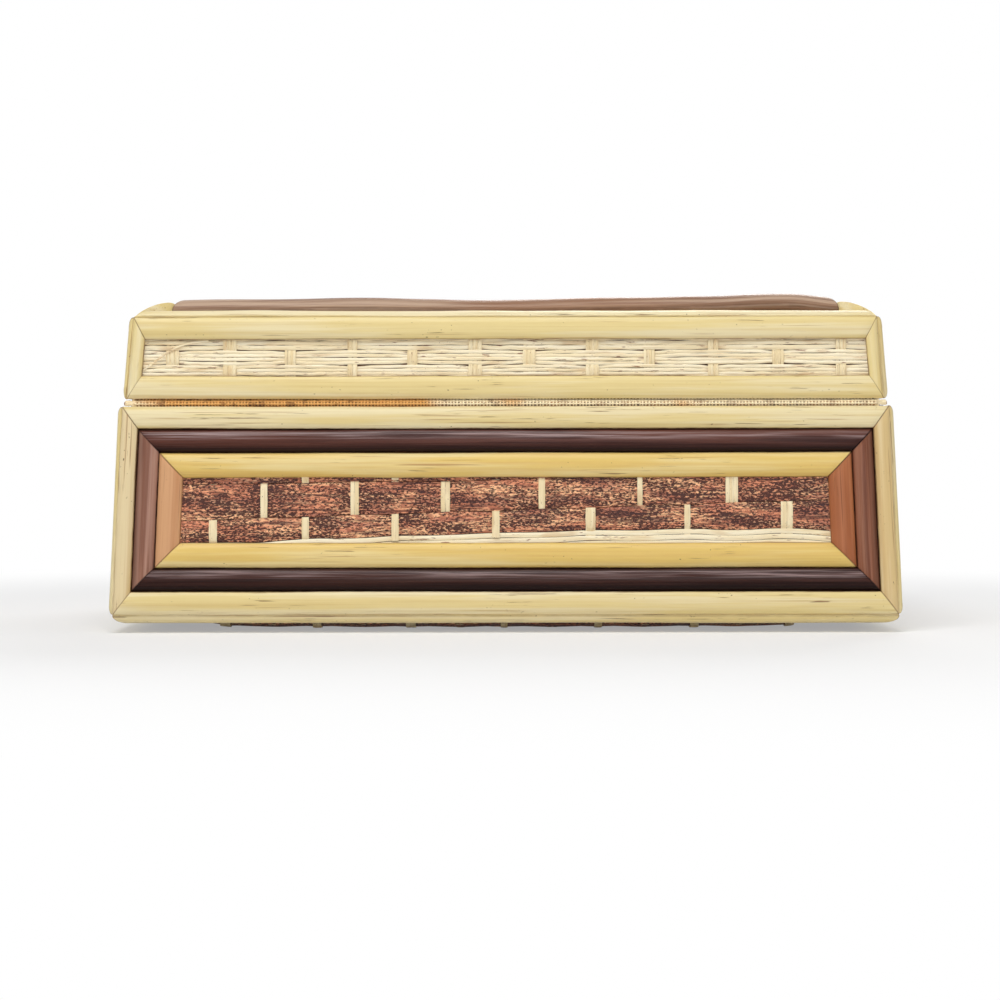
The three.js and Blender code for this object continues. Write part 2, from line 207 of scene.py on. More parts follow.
# %% [markdown]
# Every finish is a small tree of nodes over one idea: plant fibre runs along the piece.
# So each piece carries a vector called grain, its own straight coordinates with the
# length of the cane or splint as X, and the patterns are noises stretched along it. A
# finish starts from its ground colour, and the other colours are painted over it in turn.

# %% Helpers for finishes
COAT_ROUGHNESS = 0.22
# the sockets of a colour mix: its share, the colour below, the colour above and the result
MIX_SHARE, MIX_BELOW, MIX_ABOVE, MIX_RESULT = 0, 6, 7, 2


def tone(steps):
    """A colour in the 0 to 255 steps of a picture, as the linear light that shaders use."""
    shares = [step / 255.0 for step in steps]
    linear = [s / 12.92 if s <= 0.04045 else ((s + 0.055) / 1.055) ** 2.4 for s in shares]
    return (*linear, 1.0)


class Finish:
    """A material with a Principled shader, and short words for the nodes that feed it."""

    def __init__(self, name, ground, coordinates="grain"):
        self.material = bpy.data.materials.new(name)
        self.material.use_nodes = True
        self.tree = self.material.node_tree
        self.colour = tone(ground)
        if coordinates == "grain":
            self.place = self.add("Attribute", attribute_name="grain").outputs["Vector"]
        else:
            self.place = self.add("TexCoord").outputs["Object"]

    def add(self, kind, inputs=None, **settings):
        return add_node(self.tree, kind, inputs, **settings)

    def noise(self, lengths, detail=2.0, shift=0.0, rough=0.5):
        """Noise whose features have about these lengths in millimetres along X, Y and Z."""
        mapping = self.add("Mapping", {
            "Vector": self.place,
            "Location": (shift, shift * 1.7, shift * 0.6),
            "Scale": [1.0 / (size * mm) for size in lengths],
        })
        return self.add("TexNoise", {
            "Vector": mapping.outputs[0], "Scale": 1.0, "Detail": detail, "Roughness": rough,
        }).outputs["Fac"]

    def span(self, value, low, high, start=0.0, end=1.0):
        """Value from low to high turned into start to end, smoothly and no further."""
        return self.add("MapRange", {
            "Value": value, "From Min": low, "From Max": high, "To Min": start, "To Max": end,
        }, interpolation_type="SMOOTHSTEP").outputs["Result"]

    def spots(self, lengths, detail, shift, low, high, start=0.0, end=1.0):
        """A noise of its own, kept between two of its levels."""
        return self.span(self.noise(lengths, detail, shift), low, high, start, end)

    def combine(self, first, second, way="MULTIPLY"):
        return self.add("Math", {0: first, 1: second}, operation=way).outputs[0]

    def part(self, vector, axis):
        return self.add("SeparateXYZ", {0: vector}).outputs[axis]

    def depth(self):
        """Height above the seat, in millimetres."""
        return self.combine(self.part(self.place, "Z"), 1.0 / mm)

    def wear_and_shading(self, axis):
        """Where a cane's dirt and painted light go: X is the distance to its nearer long edge in
        millimetres, Y grows to 1 at its mitres, and Z, which places the painted highlight and
        shade, goes from 0 on its lower side to 1 on its upper side."""
        return self.part(self.add("Attribute", attribute_name="wear_and_shading").outputs["Vector"], axis)

    def paint(self, colour, share, strength=None):
        """Paints a colour over the ones before by this share, at full strength or less."""
        if strength is not None:
            share = self.combine(share, strength)
        mix = self.add("Mix", {
            MIX_SHARE: share, MIX_BELOW: self.colour, MIX_ABOVE: tone(colour),
        }, data_type="RGBA")
        self.colour = mix.outputs[MIX_RESULT]

    def grime_and_shade(self, groove_colour, strength):
        """Dirt and painted shade in the grooves beside a cane, and a thin line of dirt in its
        mitres.
        """
        patchy = self.spots((5, 1.2, 1.2), 3.0, 1.5, 0.3, 0.62, 0.45, 1.0)
        # painted shade with dirt: darker near each long edge, in the groove where two canes meet
        groove = self.span(self.wear_and_shading("X"), 0.05, 0.40, strength, 0.0)
        self.paint(groove_colour, self.combine(groove, patchy))
        self.paint(groove_colour, self.span(self.wear_and_shading("Y"), 0.90, 0.99, 0.0, 0.7 * strength))

    def done(self, roughness, height, relief, coat=0.0, gloss=0.5):
        """Feeds the shader. The relief is the depth of the bumps in millimetres."""
        bump = self.add("Bump", {"Strength": 1.0, "Distance": relief * mm, "Height": height})
        fill_inputs(self.tree, self.tree.nodes["Principled BSDF"], {
            "Base Color": self.colour, "Roughness": roughness, "Specular IOR Level": gloss,
            "Coat Weight": coat, "Coat Roughness": COAT_ROUGHNESS, "Normal": bump.outputs[0],
        })
        return self.material


print("steps 0, 128 and 255 as light:", [round(share, 3) for share in tone((0, 128, 255))[:3]])

# %% [markdown]
# Peeled cane is cream where it was scraped and yellow where some skin is left. It has fine
# fibres, short brown streaks where a fibre tore, small dark specks, and dirt with painted shade
# low down where two canes meet. The buff, gold, tan and rust canes share it with other colours.

# %% Pale cane finishes


def cane_finish(name, scraped, skin, shade, streak, marks):
    """Peeled cane. The higher the marks, the more streaks and specks it has."""
    finish = Finish(name, scraped)
    patches = finish.spots((80, 4.0, 4.0), 3.0, 0.0, 0.38, 0.60)
    finish.paint(skin, patches)
    finish.paint(shade, finish.spots((160, 1.8, 1.8), 2.0, 3.1, 0.44, 0.74), 0.42)
    fibres = finish.noise((30, 0.42, 0.42), 3.0, 5.3)
    finish.paint(shade, finish.span(fibres, 0.5, 0.82, 0.0, 0.42))
    region = finish.spots((36, 6, 6), 1.0, 2.2, 0.48, 0.58)
    long_torn = finish.spots((44, 0.55, 0.55), 2.0, 13.7, 0.62 - marks, 0.70 - marks)
    finish.paint(streak, finish.combine(long_torn, region), 0.6)
    torn = finish.spots((15, 0.55, 0.55), 3.0, 7.9, 0.64 - marks, 0.70 - marks)
    torn = finish.combine(torn, region)
    finish.paint((126, 82, 44), torn, 0.75)
    specks = finish.spots((1.0, 0.7, 0.7), 1.0, 11.0, 0.72 - marks, 0.78 - marks)
    sparse = finish.spots((8, 3, 3), 1.0, 4.4, 0.52, 0.64)
    finish.paint((96, 60, 34), finish.combine(specks, sparse), 0.8)
    finish.grime_and_shade((116, 72, 38), 0.85)
    roughness = finish.span(patches, 0.0, 1.0, 0.55, 0.42)
    height = finish.combine(finish.combine(fibres, 0.6), finish.combine(torn, -0.8), "ADD")
    return finish.done(roughness, height, 0.10, 0.05, 0.35)


pale_cane = cane_finish(
    "peeled_pale_cane", (234, 219, 176), (227, 206, 144), (206, 176, 108), (164, 116, 62), 0.0
)
buff_cane = cane_finish(
    "peeled_buff_cane", (228, 208, 164), (216, 188, 132), (192, 152, 98), (150, 98, 56), 0.03
)
gold_cane = cane_finish(
    "peeled_gold_cane", (232, 210, 148), (224, 192, 108), (208, 162, 84), (160, 104, 50), 0.0
)
tan_cane = cane_finish(
    "orange_tan_cane", (210, 160, 116), (196, 140, 94), (180, 116, 72), (130, 76, 46), -0.05
)
rust_cane = cane_finish(
    "rust_tan_cane", (178, 110, 68), (158, 90, 50), (132, 70, 38), (100, 52, 30), -0.05
)
print("pale finishes: 5, the last is", rust_cane.name)

# %% [markdown]
# The dark canes were smoked or stained and then polished. The long ones get painted shade,
# nearly black, on their lower side, and a painted highlight in lavender streaks on their
# upper side. The uprights are a redder brown, and the long canes on top have faded to a
# greyish brown.

# %% Dark cane finishes


def smoked_finish(name, deep, light, red, highlight, lower_shade=0.0):
    """Smoked cane with painted highlight above and painted shade this strong below."""
    finish = Finish(name, deep)
    grooves = finish.noise((60, 1.3, 1.3), 3.0)
    finish.paint(light, finish.span(grooves, 0.38, 0.64))
    finish.paint(red, finish.spots((90, 8, 8), 1.0, 2.7, 0.46, 0.66), 0.6)
    fibres = finish.noise((26, 0.45, 0.45), 3.0, 6.1)
    # painted highlight: lavender streaks on the upper side, away from the edges, in patches
    upper = finish.span(finish.wear_and_shading("Z"), 0.48, 0.70)
    crest = finish.combine(upper, finish.span(finish.wear_and_shading("X"), 0.3, 1.3))
    highlight_patches = finish.spots((40, 2.6, 2.6), 2.0, 4.9, 0.36, 0.62, 0.25, 1.0)
    streaks = finish.span(fibres, 0.38, 0.64, 0.1, 1.0)
    finish.paint(highlight, finish.combine(streaks, finish.combine(crest, highlight_patches)), 0.85)
    # painted shade: nearly black on the lower side of a long cane
    finish.paint((26, 12, 13), finish.span(finish.wear_and_shading("Z"), 0.10, 0.46, lower_shade, 0.0))
    finish.grime_and_shade((24, 12, 12), 0.9)
    height = finish.combine(fibres, finish.combine(grooves, 1.2), "ADD")
    return finish.done(finish.span(fibres, 0.35, 0.7, 0.24, 0.38), height, 0.10, 0.04, 0.10)


dark_cane = smoked_finish(
    "smoked_dark_cane", (58, 30, 26), (88, 52, 44), (106, 62, 48), (170, 146, 144), 0.88
)
# a darker copy of the dark cane for the low rail of the hinge side, as painted shade
low_shaded_dark_cane = smoked_finish(
    "smoked_dark_cane_low_shaded", (40, 19, 16), (62, 34, 28), (76, 42, 32), (164, 140, 138), 0.9
)
brown_cane = smoked_finish(
    "smoked_brown_cane", (134, 92, 76), (170, 128, 110), (162, 112, 88), (176, 140, 124), 0.4
)
russet_cane = smoked_finish(
    "smoked_russet_cane", (112, 66, 48), (148, 98, 76), (142, 86, 60), (156, 112, 90), 0.4
)
faded_cane = smoked_finish(
    "faded_dark_cane", (138, 106, 86), (186, 158, 136), (156, 116, 90), (202, 182, 164)
)
print("dark finishes: 5, the last is", faded_cane.name)

# %% [markdown]
# The wide bark splints are speckled all over: short dark flecks lie along the splint on a
# salmon ground, denser in some patches, with tan flecks and purple shades between them.

# %% Bark splint finish
bark = Finish("speckled_bark", (255, 198, 150))
bark.paint((232, 154, 116), bark.spots((16, 3.0, 3.0), 2.0, 0.0, 0.4, 0.62))
bark.paint((156, 98, 88), bark.spots((20, 2.6, 2.6), 2.0, 3.9, 0.50, 0.64), 0.5)
bark.paint((172, 99, 73), bark.spots((1.7, 0.6, 0.6), 3.0, 14.2, 0.47, 0.54), 0.8)
bark_dense = bark.spots((14, 3.4, 3.4), 2.0, 1.2, 0.3, 0.7, -0.06, 0.07)
bark_flecks = bark.noise((0.95, 0.42, 0.42), 3.0, 5.0, 0.6)
bark_cover = bark.span(bark.combine(bark_flecks, bark_dense, "ADD"), 0.485, 0.53)
bark.paint((58, 16, 8), bark_cover, 0.96)
bark_lines = bark.spots((18, 0.48, 0.48), 2.0, 9.7, 0.55, 0.63)
bark.paint((56, 24, 26), bark_lines, 0.7)
bark_height = bark.combine(bark.combine(bark_cover, -0.8), bark_lines, "SUBTRACT")
bark_splint = bark.done(bark.span(bark_flecks, 0.3, 0.7, 0.85, 0.6), bark_height, 0.10)
print("nodes in the bark finish:", len(bark.tree.nodes))

# %% [markdown]
# Weavers and cream splints are dry scraped inner cane: dull, with hair fine lines along
# them. The weavers carry a few dark pores, and both get painted shade, a brown, where
# they lie deep in the weave.

# %% Splint finishes
# heights above the seat in mm: painted shade below the first, none above the second
SHADE_HEIGHTS = (1.36, 1.66)


def splint_finish(name, light, deep, line, pores, soot):
    finish = Finish(name, light)
    finish.paint(deep, finish.spots((24, 2.0, 2.0), 2.0, 0.0, 0.35, 0.65))
    lines = finish.noise((22, 0.4, 0.4), 2.0, 4.1)
    finish.paint(line, finish.span(lines, 0.54, 0.76, 0.0, 0.6))
    holes = finish.spots((0.7, 0.3, 0.3), 1.0, 6.6, 0.74 - pores, 0.80 - pores)
    finish.paint((120, 84, 48), holes, 0.75)
    finish.paint((196, 150, 92), finish.spots((15, 4, 4), 2.0, 9.2, 0.58, 0.70), 0.4)
    sooty = finish.spots((5.0, 0.7, 0.7), 3.0, 12.3, 0.66 - soot, 0.71 - soot)
    finish.paint((134, 78, 48), sooty, 0.8)
    # painted shade: brown where the splint lies deep in the weave
    finish.paint((140, 88, 48), finish.span(finish.depth(), SHADE_HEIGHTS[0], SHADE_HEIGHTS[1], 0.8, 0.0))
    return finish.done(0.66, lines, 0.12)


pale_weaver = splint_finish(
    "scraped_weaver", (244, 228, 190), (234, 212, 166), (198, 164, 112), 0.04, -0.02
)
cream_splint = splint_finish(
    "scraped_cream", (250, 238, 208), (242, 224, 184), (206, 174, 120), 0.0, 0.02
)
print("splint finishes:", pale_weaver.name, "and", cream_splint.name)

# %% [markdown]
# Behind the weave lies brown paper, which shows only in the gaps: its dark brown is dirt and
# painted shade there. The boards are light plain wood, seen on the inside when the lid is open.

# %% Backing and board finishes
# dark brown paper in the gaps of the weave: dirt and painted shade
paper = Finish("brown_paper_dirt_and_shade", (112, 70, 42), "object")
paper_blot = paper.noise((5, 5, 5), 3.0)
paper.paint((78, 46, 30), paper.span(paper_blot, 0.35, 0.65))
paper_dirt_and_shade = paper.done(0.9, paper_blot, 0.1)


def wood_finish(name, along):
    """Plain wood whose grain runs along X or along Y."""
    def stretched(length, across):
        return (length, across, across) if along == "X" else (across, length, across)

    wood = Finish(name, (212, 180, 134), "object")
    wood.paint((190, 152, 104), wood.spots(stretched(150, 7), 3.0, 0.0, 0.38, 0.62))
    lines = wood.noise(stretched(60, 1.1), 3.0, 3.3)
    wood.paint((158, 118, 74), wood.span(lines, 0.50, 0.72, 0.0, 0.5))
    wood.paint((126, 90, 54), wood.spots(stretched(5, 0.35), 2.0, 7.1, 0.60, 0.72, 0.0, 0.6))
    return wood.done(0.74, lines, 0.10)


long_wood = wood_finish("board_wood_lengthwise", "X")
cross_wood = wood_finish("board_wood_crosswise", "Y")
boards = [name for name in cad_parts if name.endswith("_board")]
for name in boards:
    crosswise = "left" in name or "right" in name
    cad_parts[name].data.materials.clear()
    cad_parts[name].data.materials.append(cross_wood if crosswise else long_wood)
print("boards with a finish:", len(boards))

# %% [markdown]
# The hinge is a coarse cotton tape. Its threads are real geometry here, so the finish only
# needs the colour of old glue: golden brown at the left and whitish to the right. The ground
# under the threads is darker: glue in the holes of the cloth, and painted shade in them.

# %% Cloth finish
cloth = Finish("cotton_tape", (252, 236, 198), "object")
cloth_x = cloth.part(cloth.place, "X")
cloth_left = cloth.span(cloth_x, -0.030, 0.030, 0.12, -0.22)
cloth_soiled = cloth.span(cloth_x, -0.030, 0.030, 0.6, 0.3)
cloth_glue = cloth.combine(cloth.noise((30, 30, 30), 2.0, 1.9), cloth_left, "ADD")
cloth.paint((232, 176, 102), cloth.span(cloth_glue, 0.44, 0.60))
cloth_brown = cloth.spots((3.5, 3.5, 3.5), 2.0, 3.6, 0.55, 0.65)
cloth.paint((128, 78, 38), cloth.combine(cloth_brown, cloth_soiled))
cotton_tape = cloth.done(0.9, cloth.noise((0.5, 0.12, 0.12)), 0.08)

# darker ground under the threads: glue, and painted shade in the holes of the cloth
glue = Finish("glue_and_pit_shade", (150, 98, 50), "object")
glue_blot = glue.noise((6, 3, 3), 3.0, 2.5)
glue.paint((84, 50, 28), glue.span(glue_blot, 0.4, 0.6))
glue_and_pit_shade = glue.done(0.6, glue_blot, 0.1)
print("cloth finishes:", cotton_tape.name, "and", glue_and_pit_shade.name)

# %% [markdown]
# Each wall leans in a little, so a rail is easiest to make flat on the bench, with X along
# it and Z up from its seat, and to carry to its wall afterwards. The axes of a wall come
# from its board: along, up the slope, and outwards.

# %% Axes of the faces
SAME_LEVEL = 0.01 * mm
CORNER_WAYS = ((-1, -1), (1, -1), (1, 1), (-1, 1))
OUTWARDS = {
    "back": Vector((0, -1, 0)),
    "front": Vector((0, 1, 0)),
    "left": Vector((-1, 0, 0)),
    "right": Vector((1, 0, 0)),
}
PLAIN_SIDES = ("front", "left", "right")


def points_of(node_name):
    return [vertex.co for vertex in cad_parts[node_name].data.vertices]


def axes(origin, along, up):
    turn = Matrix((along, up, along.cross(up))).transposed().to_4x4()
    return Matrix.Translation(origin) @ turn


def wall_axes(board, out):
    """Axes on a board's outer face, with the origin in the middle of its foot."""
    points = points_of(board)
    foot = min(point.z for point in points)
    rim = max(point.z for point in points)

    def reach(level):
        return max(point.dot(out) for point in points if abs(point.z - level) < SAME_LEVEL)

    rise = Vector((0.0, 0.0, rim - foot))
    up = (rise - out * (reach(foot) - reach(rim))).normalized()
    return axes(out * reach(foot) + Vector((0.0, 0.0, foot)), up.cross(out).normalized(), up)


faces = {}
for side, out in OUTWARDS.items():
    for body in ("base", "lid"):
        faces[f"{body}_{side}"] = wall_axes(f"{body}_{side}_board", out)
lid_top_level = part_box("lid_top_board")[1].z
floor_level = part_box("base_floor_board")[0].z
faces["lid_top"] = axes(Vector((0, 0, lid_top_level)), Vector((1, 0, 0)), Vector((0, 1, 0)))
faces["underside"] = axes(Vector((0, 0, floor_level)), Vector((1, 0, 0)), Vector((0, -1, 0)))


class Ring:
    """A ring of rails on a face: its outer and inner corners, its seat and its crest."""

    def __init__(self, face, node_names):
        inverse = faces[face].inverted()
        spots = [inverse @ point for name in node_names for point in points_of(name)]
        self.face = face
        self.nodes = node_names
        self.seat = min(spot.z for spot in spots)
        self.crest = max(spot.z for spot in spots)
        middle = (min(spot.y for spot in spots) + max(spot.y for spot in spots)) / 2
        self.outer = []
        self.inner = []
        for way_x, way_y in CORNER_WAYS:
            reach_x = [spot.x * way_x for spot in spots]
            reach_y = [(spot.y - middle) * way_y for spot in spots]
            near = [(x, y) for x, y in zip(reach_x, reach_y) if x > 0 and y > 0]
            for corners, pick in ((self.outer, max), (self.inner, min)):
                x = pick(x for x, _ in near)
                y = pick(y for _, y in near)
                corners.append(Vector((x * way_x, middle + y * way_y, 0.0)))


PLACES = ("low", "right", "high", "left")
RING_KINDS = ("pale", "dark", "inner")
rings = {}
for kind in RING_KINDS:
    nodes = [f"base_back_{kind}_rail_{place}" for place in PLACES]
    rings["base_back_" + kind] = Ring("base_back", nodes)
    for side in PLAIN_SIDES:
        rings[f"base_{side}_{kind}"] = Ring("base_" + side, [f"base_{side}_{kind}_ring"])
    rings["lid_top_" + kind] = Ring("lid_top", [f"lid_top_{kind}_ring"])
rings["lid_back"] = Ring("lid_back", [f"lid_back_rail_{place}" for place in PLACES])
for side in PLAIN_SIDES:
    rings["lid_" + side] = Ring("lid_" + side, [f"lid_{side}_ring"])
rings["underside"] = Ring("underside", ["underside_pale_ring"])
print("rings:", len(rings))

# %% [markdown]
# One length of half round cane is a cylinder squashed to an ellipse and cut flat along its
# seat, then cut to its two mitres. Real cane is never quite straight or quite round, so
# three gentle displacements follow: a slow wander sideways, a slow change of height, and
# fine ribs along the fibre. The mesh is first divided along its length to carry them.

# %% Helpers for canes
ARCH_POINTS = 56
LONGEST_STEP = 2.6 * mm
MOST_CUTS = 96
CUT_MERGE = 0.001 * mm
LENGTHWISE = 0.99
EDGE_ROUNDING = 0.12 * mm
EDGE_SEGMENTS = 2
ROUNDED_ANGLE = math.radians(38)
SMOOTH_ANGLE = math.radians(40)
OUTER_HEEL = 1.1 * mm
INNER_HEEL = 0.45 * mm
# how much further away an edge counts whose groove gets less dirt and painted shade, in
# millimetres
FAINTER_GROOVE = 0.25
FAINTEST_GROOVE = 0.5
SANDED_EDGE = 0.5 * mm
SANDED_SLOPE = 0.62
EASED_FROM = 0.94 * mm
EASED_RUN = 0.85
EASED_RISE = 0.95
# the lengths of a pattern, its direction and its strength, in millimetres
WANDER = ((45.0, 45.0, 45.0), "Y", 0.45)
SWELL = ((60.0, 60.0, 60.0), "Z", 0.32)
RIBS = ((30.0, 1.6, 1.6), "NORMAL", 0.10)
TOP_SWELL = ((38.0, 60.0, 60.0), "Z", 0.85)

bpy.ops.object.empty_add()
guide = bpy.context.object
guide.name = "pattern_guide"
clouds = bpy.data.textures.new("fibre_clouds", "CLOUDS")
clouds.noise_scale = 1.0
clouds.noise_depth = 1
chance = random.Random(19)


def jitter(most):
    return chance.uniform(-most, most)


def select_only(*pieces):
    """Selects these pieces and no others, and makes the first one active."""
    bpy.ops.object.select_all(action="DESELECT")
    for piece in pieces:
        piece.select_set(True)
    bpy.context.view_layer.objects.active = pieces[0]


def keep_side(place, normal, front=True):
    """Cuts the mesh in edit mode along a plane and closes the cut."""
    bpy.ops.mesh.select_all(action="SELECT")
    bpy.ops.mesh.bisect(
        plane_co=place,
        plane_no=Vector(normal).normalized(),
        use_fill=True,
        clear_inner=front,
        clear_outer=not front,
        threshold=CUT_MERGE,
    )


def apply_modifiers(piece):
    bpy.context.view_layer.objects.active = piece
    for modifier in list(piece.modifiers):
        bpy.ops.object.modifier_apply(modifier=modifier.name)


def displace(piece, pattern):
    """Moves the surface by a cloud pattern that is stretched to its lengths."""
    lengths, direction, strength = pattern
    guide.scale = [length * mm for length in lengths]
    guide.location = [jitter(1) for _ in range(3)]
    bpy.context.view_layer.update()
    modifier = piece.modifiers.new("unevenness", "DISPLACE")
    modifier.texture = clouds
    modifier.texture_coords = "OBJECT"
    modifier.texture_coords_object = guide
    modifier.direction = direction
    modifier.strength = strength * mm
    apply_modifiers(piece)


def write_grain(piece, crosswise=False):
    """Stores the straight coordinates, with the length as X, and a shift of its own."""
    shift = chance.uniform(0, 3)
    grain = piece.data.attributes.new("grain", "FLOAT_VECTOR", "POINT")
    for vertex, value in zip(piece.data.vertices, grain.data):
        x, y, z = vertex.co
        value.vector = (y + shift, x, z) if crosswise else (x + shift, y, z)


def write_wear_and_shading(cane, length, width, slants, undarkened, upper):
    """Stores each point's distance to the nearer long edge, the two mitres, and how far up
    the cane it lies, which places the painted highlight and shade. An edge that is kept
    undarkened counts as that many millimetres further away, and a cane whose inner edge is
    undarkened has undarkened mitres too."""
    wear_and_shading = cane.data.attributes.new("wear_and_shading", "FLOAT_VECTOR", "POINT")
    for vertex, value in zip(cane.data.vertices, wear_and_shading.data):
        x, y, z = vertex.co
        across = min(y / mm + undarkened[0], (width - y) / mm + undarkened[1])
        from_start = (x * width - y * slants[0]) / math.hypot(width, slants[0])
        from_end = ((length - x) * width - y * slants[1]) / math.hypot(width, slants[1])
        mitred = 1.0 if min(from_start, from_end) < 2 * EDGE_ROUNDING and not undarkened[1] else 0.0
        height = {"outer": 1 - y / width, "inner": y / width}.get(upper, 0.5)
        value.vector = (across, mitred, height)


def half_cane(
    length, width, rise, heel, slants,
    undarkened=(0, 0), upper=None, swell=SWELL, sanded=False, eased=False,
):
    """Half round cane along X, its outer edge on Y = 0 and its flat seat on Z = 0.
    A sanded one is worn down in a slope at its two ends, and an eased one is planed off
    along its outer shoulder."""
    bpy.ops.mesh.primitive_cylinder_add(
        vertices=ARCH_POINTS,
        radius=0.5,
        depth=length + 4 * width,
        location=(length / 2, width / 2, heel),
        rotation=(0, math.pi / 2, 0),
        scale=(2 * (rise - heel), width, 1),
    )
    cane = bpy.context.object
    bpy.ops.object.transform_apply(location=True, rotation=True, scale=True)
    bpy.ops.object.mode_set(mode="EDIT")
    bpy.ops.mesh.select_mode(type="EDGE")
    keep_side((0, 0, 0), (0, 0, 1))
    keep_side((0, 0, 0), (width, -slants[0], 0))
    keep_side((length, 0, 0), (width, slants[1], 0), front=False)
    if eased:
        keep_side((0, 0, EASED_FROM), (0, EASED_RISE, -EASED_RUN))
    if sanded:
        keep_side((0, 0, SANDED_EDGE), (SANDED_SLOPE, 0, -1))
        keep_side((length, 0, SANDED_EDGE), (-SANDED_SLOPE, 0, -1))
    mesh = bmesh.from_edit_mesh(cane.data)
    for edge in mesh.edges:
        run = edge.verts[0].co - edge.verts[1].co
        edge.select_set(abs(run.x) > LENGTHWISE * run.length)
    bmesh.update_edit_mesh(cane.data)
    bpy.ops.mesh.subdivide(number_cuts=min(MOST_CUTS, int(length / LONGEST_STEP)))
    bpy.ops.object.mode_set(mode="OBJECT")
    rounding = cane.modifiers.new("rounding", "BEVEL")
    rounding.limit_method = "ANGLE"
    rounding.angle_limit = ROUNDED_ANGLE
    rounding.width = EDGE_ROUNDING
    rounding.segments = EDGE_SEGMENTS
    apply_modifiers(cane)
    write_wear_and_shading(cane, length, width, slants, undarkened, upper)
    for pattern in (WANDER, swell, RIBS):
        displace(cane, pattern)
    write_grain(cane)
    return cane


def ring_cane(ring, side, heel, rise=None, tilt=0.0, sink=0.0, stretch=1.0, undarkened=None, **looks):
    """The cane on one side of a ring, laid on its face. It can be tilted up on its inner
    edge, sunk into its seat and made wider than the ring."""
    start = ring.outer[side]
    end = ring.outer[(side + 1) % 4]
    along = (end - start).normalized()
    inwards = Vector((-along.y, along.x, 0.0))
    first = (ring.inner[side] - start) * stretch
    last = (ring.inner[(side + 1) % 4] - end) * stretch
    upper = None
    if ring.face not in ("lid_top", "underside"):
        upper = "outer" if PLACES[side] == "high" else "inner"
    if undarkened is None:
        # the outer edge of a heeled cane gets less of the groove's dirt and painted shade
        undarkened = (FAINTER_GROOVE, 0) if heel >= OUTER_HEEL else (0, 0)
    cane = half_cane(
        (end - start).length, first.dot(inwards), rise or ring.crest - ring.seat, heel,
        (first.dot(along), -last.dot(along)), undarkened, upper, **looks,
    )
    turn = Matrix((along, inwards, Vector((0, 0, 1)))).transposed().to_4x4()
    place = start + Vector((0, 0, ring.seat))
    tip = Matrix.Rotation(tilt, 4, "X") @ Matrix.Translation((0, 0, -sink))
    cane.data.transform(faces[ring.face] @ Matrix.Translation(place) @ turn @ tip)
    return cane


def finish_piece(piece, name, finish, body, nodes):
    """Names a finished piece, gives it its material and fixes it to its body."""
    piece.name = name
    piece.data.name = name
    piece.data.materials.clear()
    piece.data.materials.append(finish)
    select_only(piece)
    bpy.ops.object.shade_smooth_by_angle(angle=SMOOTH_ANGLE)
    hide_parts(*nodes)
    if body:
        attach(piece, body)


def join(pieces):
    select_only(*pieces)
    bpy.ops.object.join()
    return pieces[0]


trial = half_cane(length=0.2, width=0.007, rise=0.0025, heel=0.0005, slants=(0.005, 0.005))
print("faces in one cane:", len(trial.data.polygons))
bpy.data.objects.remove(trial)

# %% [markdown]
# Every wall of the base wears three rings, pale, dark and golden, each of four canes with
# mitred corners. The short canes of the inner ring are a warmer tan. On the hinge side the
# canes are separate pieces, and on the other walls the two or four of a kind are one piece.
# The two canes beside the hinge are eased along the seam, so that they clear each other
# when the lid stands open.

# %% Canes of the base walls
LONG_FINISH = {"pale": pale_cane, "dark": dark_cane, "inner": gold_cane}
SHORT_FINISH = {"pale": pale_cane, "dark": brown_cane, "inner": tan_cane}
LEFT_FINISH = {"pale": buff_cane, "dark": brown_cane, "inner": tan_cane}
RIGHT_FINISH = {"pale": buff_cane, "dark": russet_cane, "inner": rust_cane}
HEELS = {"pale": OUTER_HEEL, "dark": INNER_HEEL, "inner": INNER_HEEL}
BACK_FINISH = {"low": LONG_FINISH, "right": RIGHT_FINISH, "high": LONG_FINISH, "left": LEFT_FINISH}

for kind in RING_KINDS:
    ring = rings["base_back_" + kind]
    for side, place in enumerate(PLACES):
        cane = ring_cane(ring, side, HEELS[kind], eased=kind == "pale" and place == "high")
        finish = BACK_FINISH[place][kind]
        # the low dark cane takes the darker copy of the dark finish: painted shade
        if kind == "dark" and place == "low":
            finish = low_shaded_dark_cane
        finish_piece(cane, f"base_back_{kind}_cane_{place}", finish, "base", [ring.nodes[side]])


def ring_pieces(name, ring, heel, long_finish, short_finish, body):
    """All the canes of a ring that shows as one node, as one piece for each finish."""
    canes = [ring_cane(ring, side, heel) for side in range(4)]
    if long_finish == short_finish:
        finish_piece(join(canes), name + "_canes", long_finish, body, ring.nodes)
    else:
        finish_piece(join(canes[0::2]), name + "_long_canes", long_finish, body, ring.nodes)
        finish_piece(join(canes[1::2]), name + "_short_canes", short_finish, body, ring.nodes)


for side in PLAIN_SIDES:
    for kind in RING_KINDS:
        name = f"base_{side}_{kind}"
        ring_pieces(name, rings[name], HEELS[kind], LONG_FINISH[kind], SHORT_FINISH[kind], "base")

# %% [markdown]
# The lid's walls are low, so each has one pale ring only. Its top has three rings again,
# and the dark one stands highest, which shows above the edge from every side. The two end
# canes of its pale ring lean up against the dark ring, and the long dark cane of the hinge
# side bows up towards one end. A single pale ring runs round the underside.

# %% Canes of the lid and the underside
TOP_CANE_RISE = 2.7 * mm
END_CANE = {
    "heel": 2.2 * mm,
    "rise": 4.5 * mm,
    "tilt": math.radians(27),
    "sink": 2.8 * mm,
    "stretch": 1.22,
    "undarkened": (3, 3),
}
TOP_DARK_HEEL = 1.6 * mm
TOP_INNER_HEEL = 1.0 * mm
LONG_SIDES = (0, 2)
SHORT_SIDES = (1, 3)
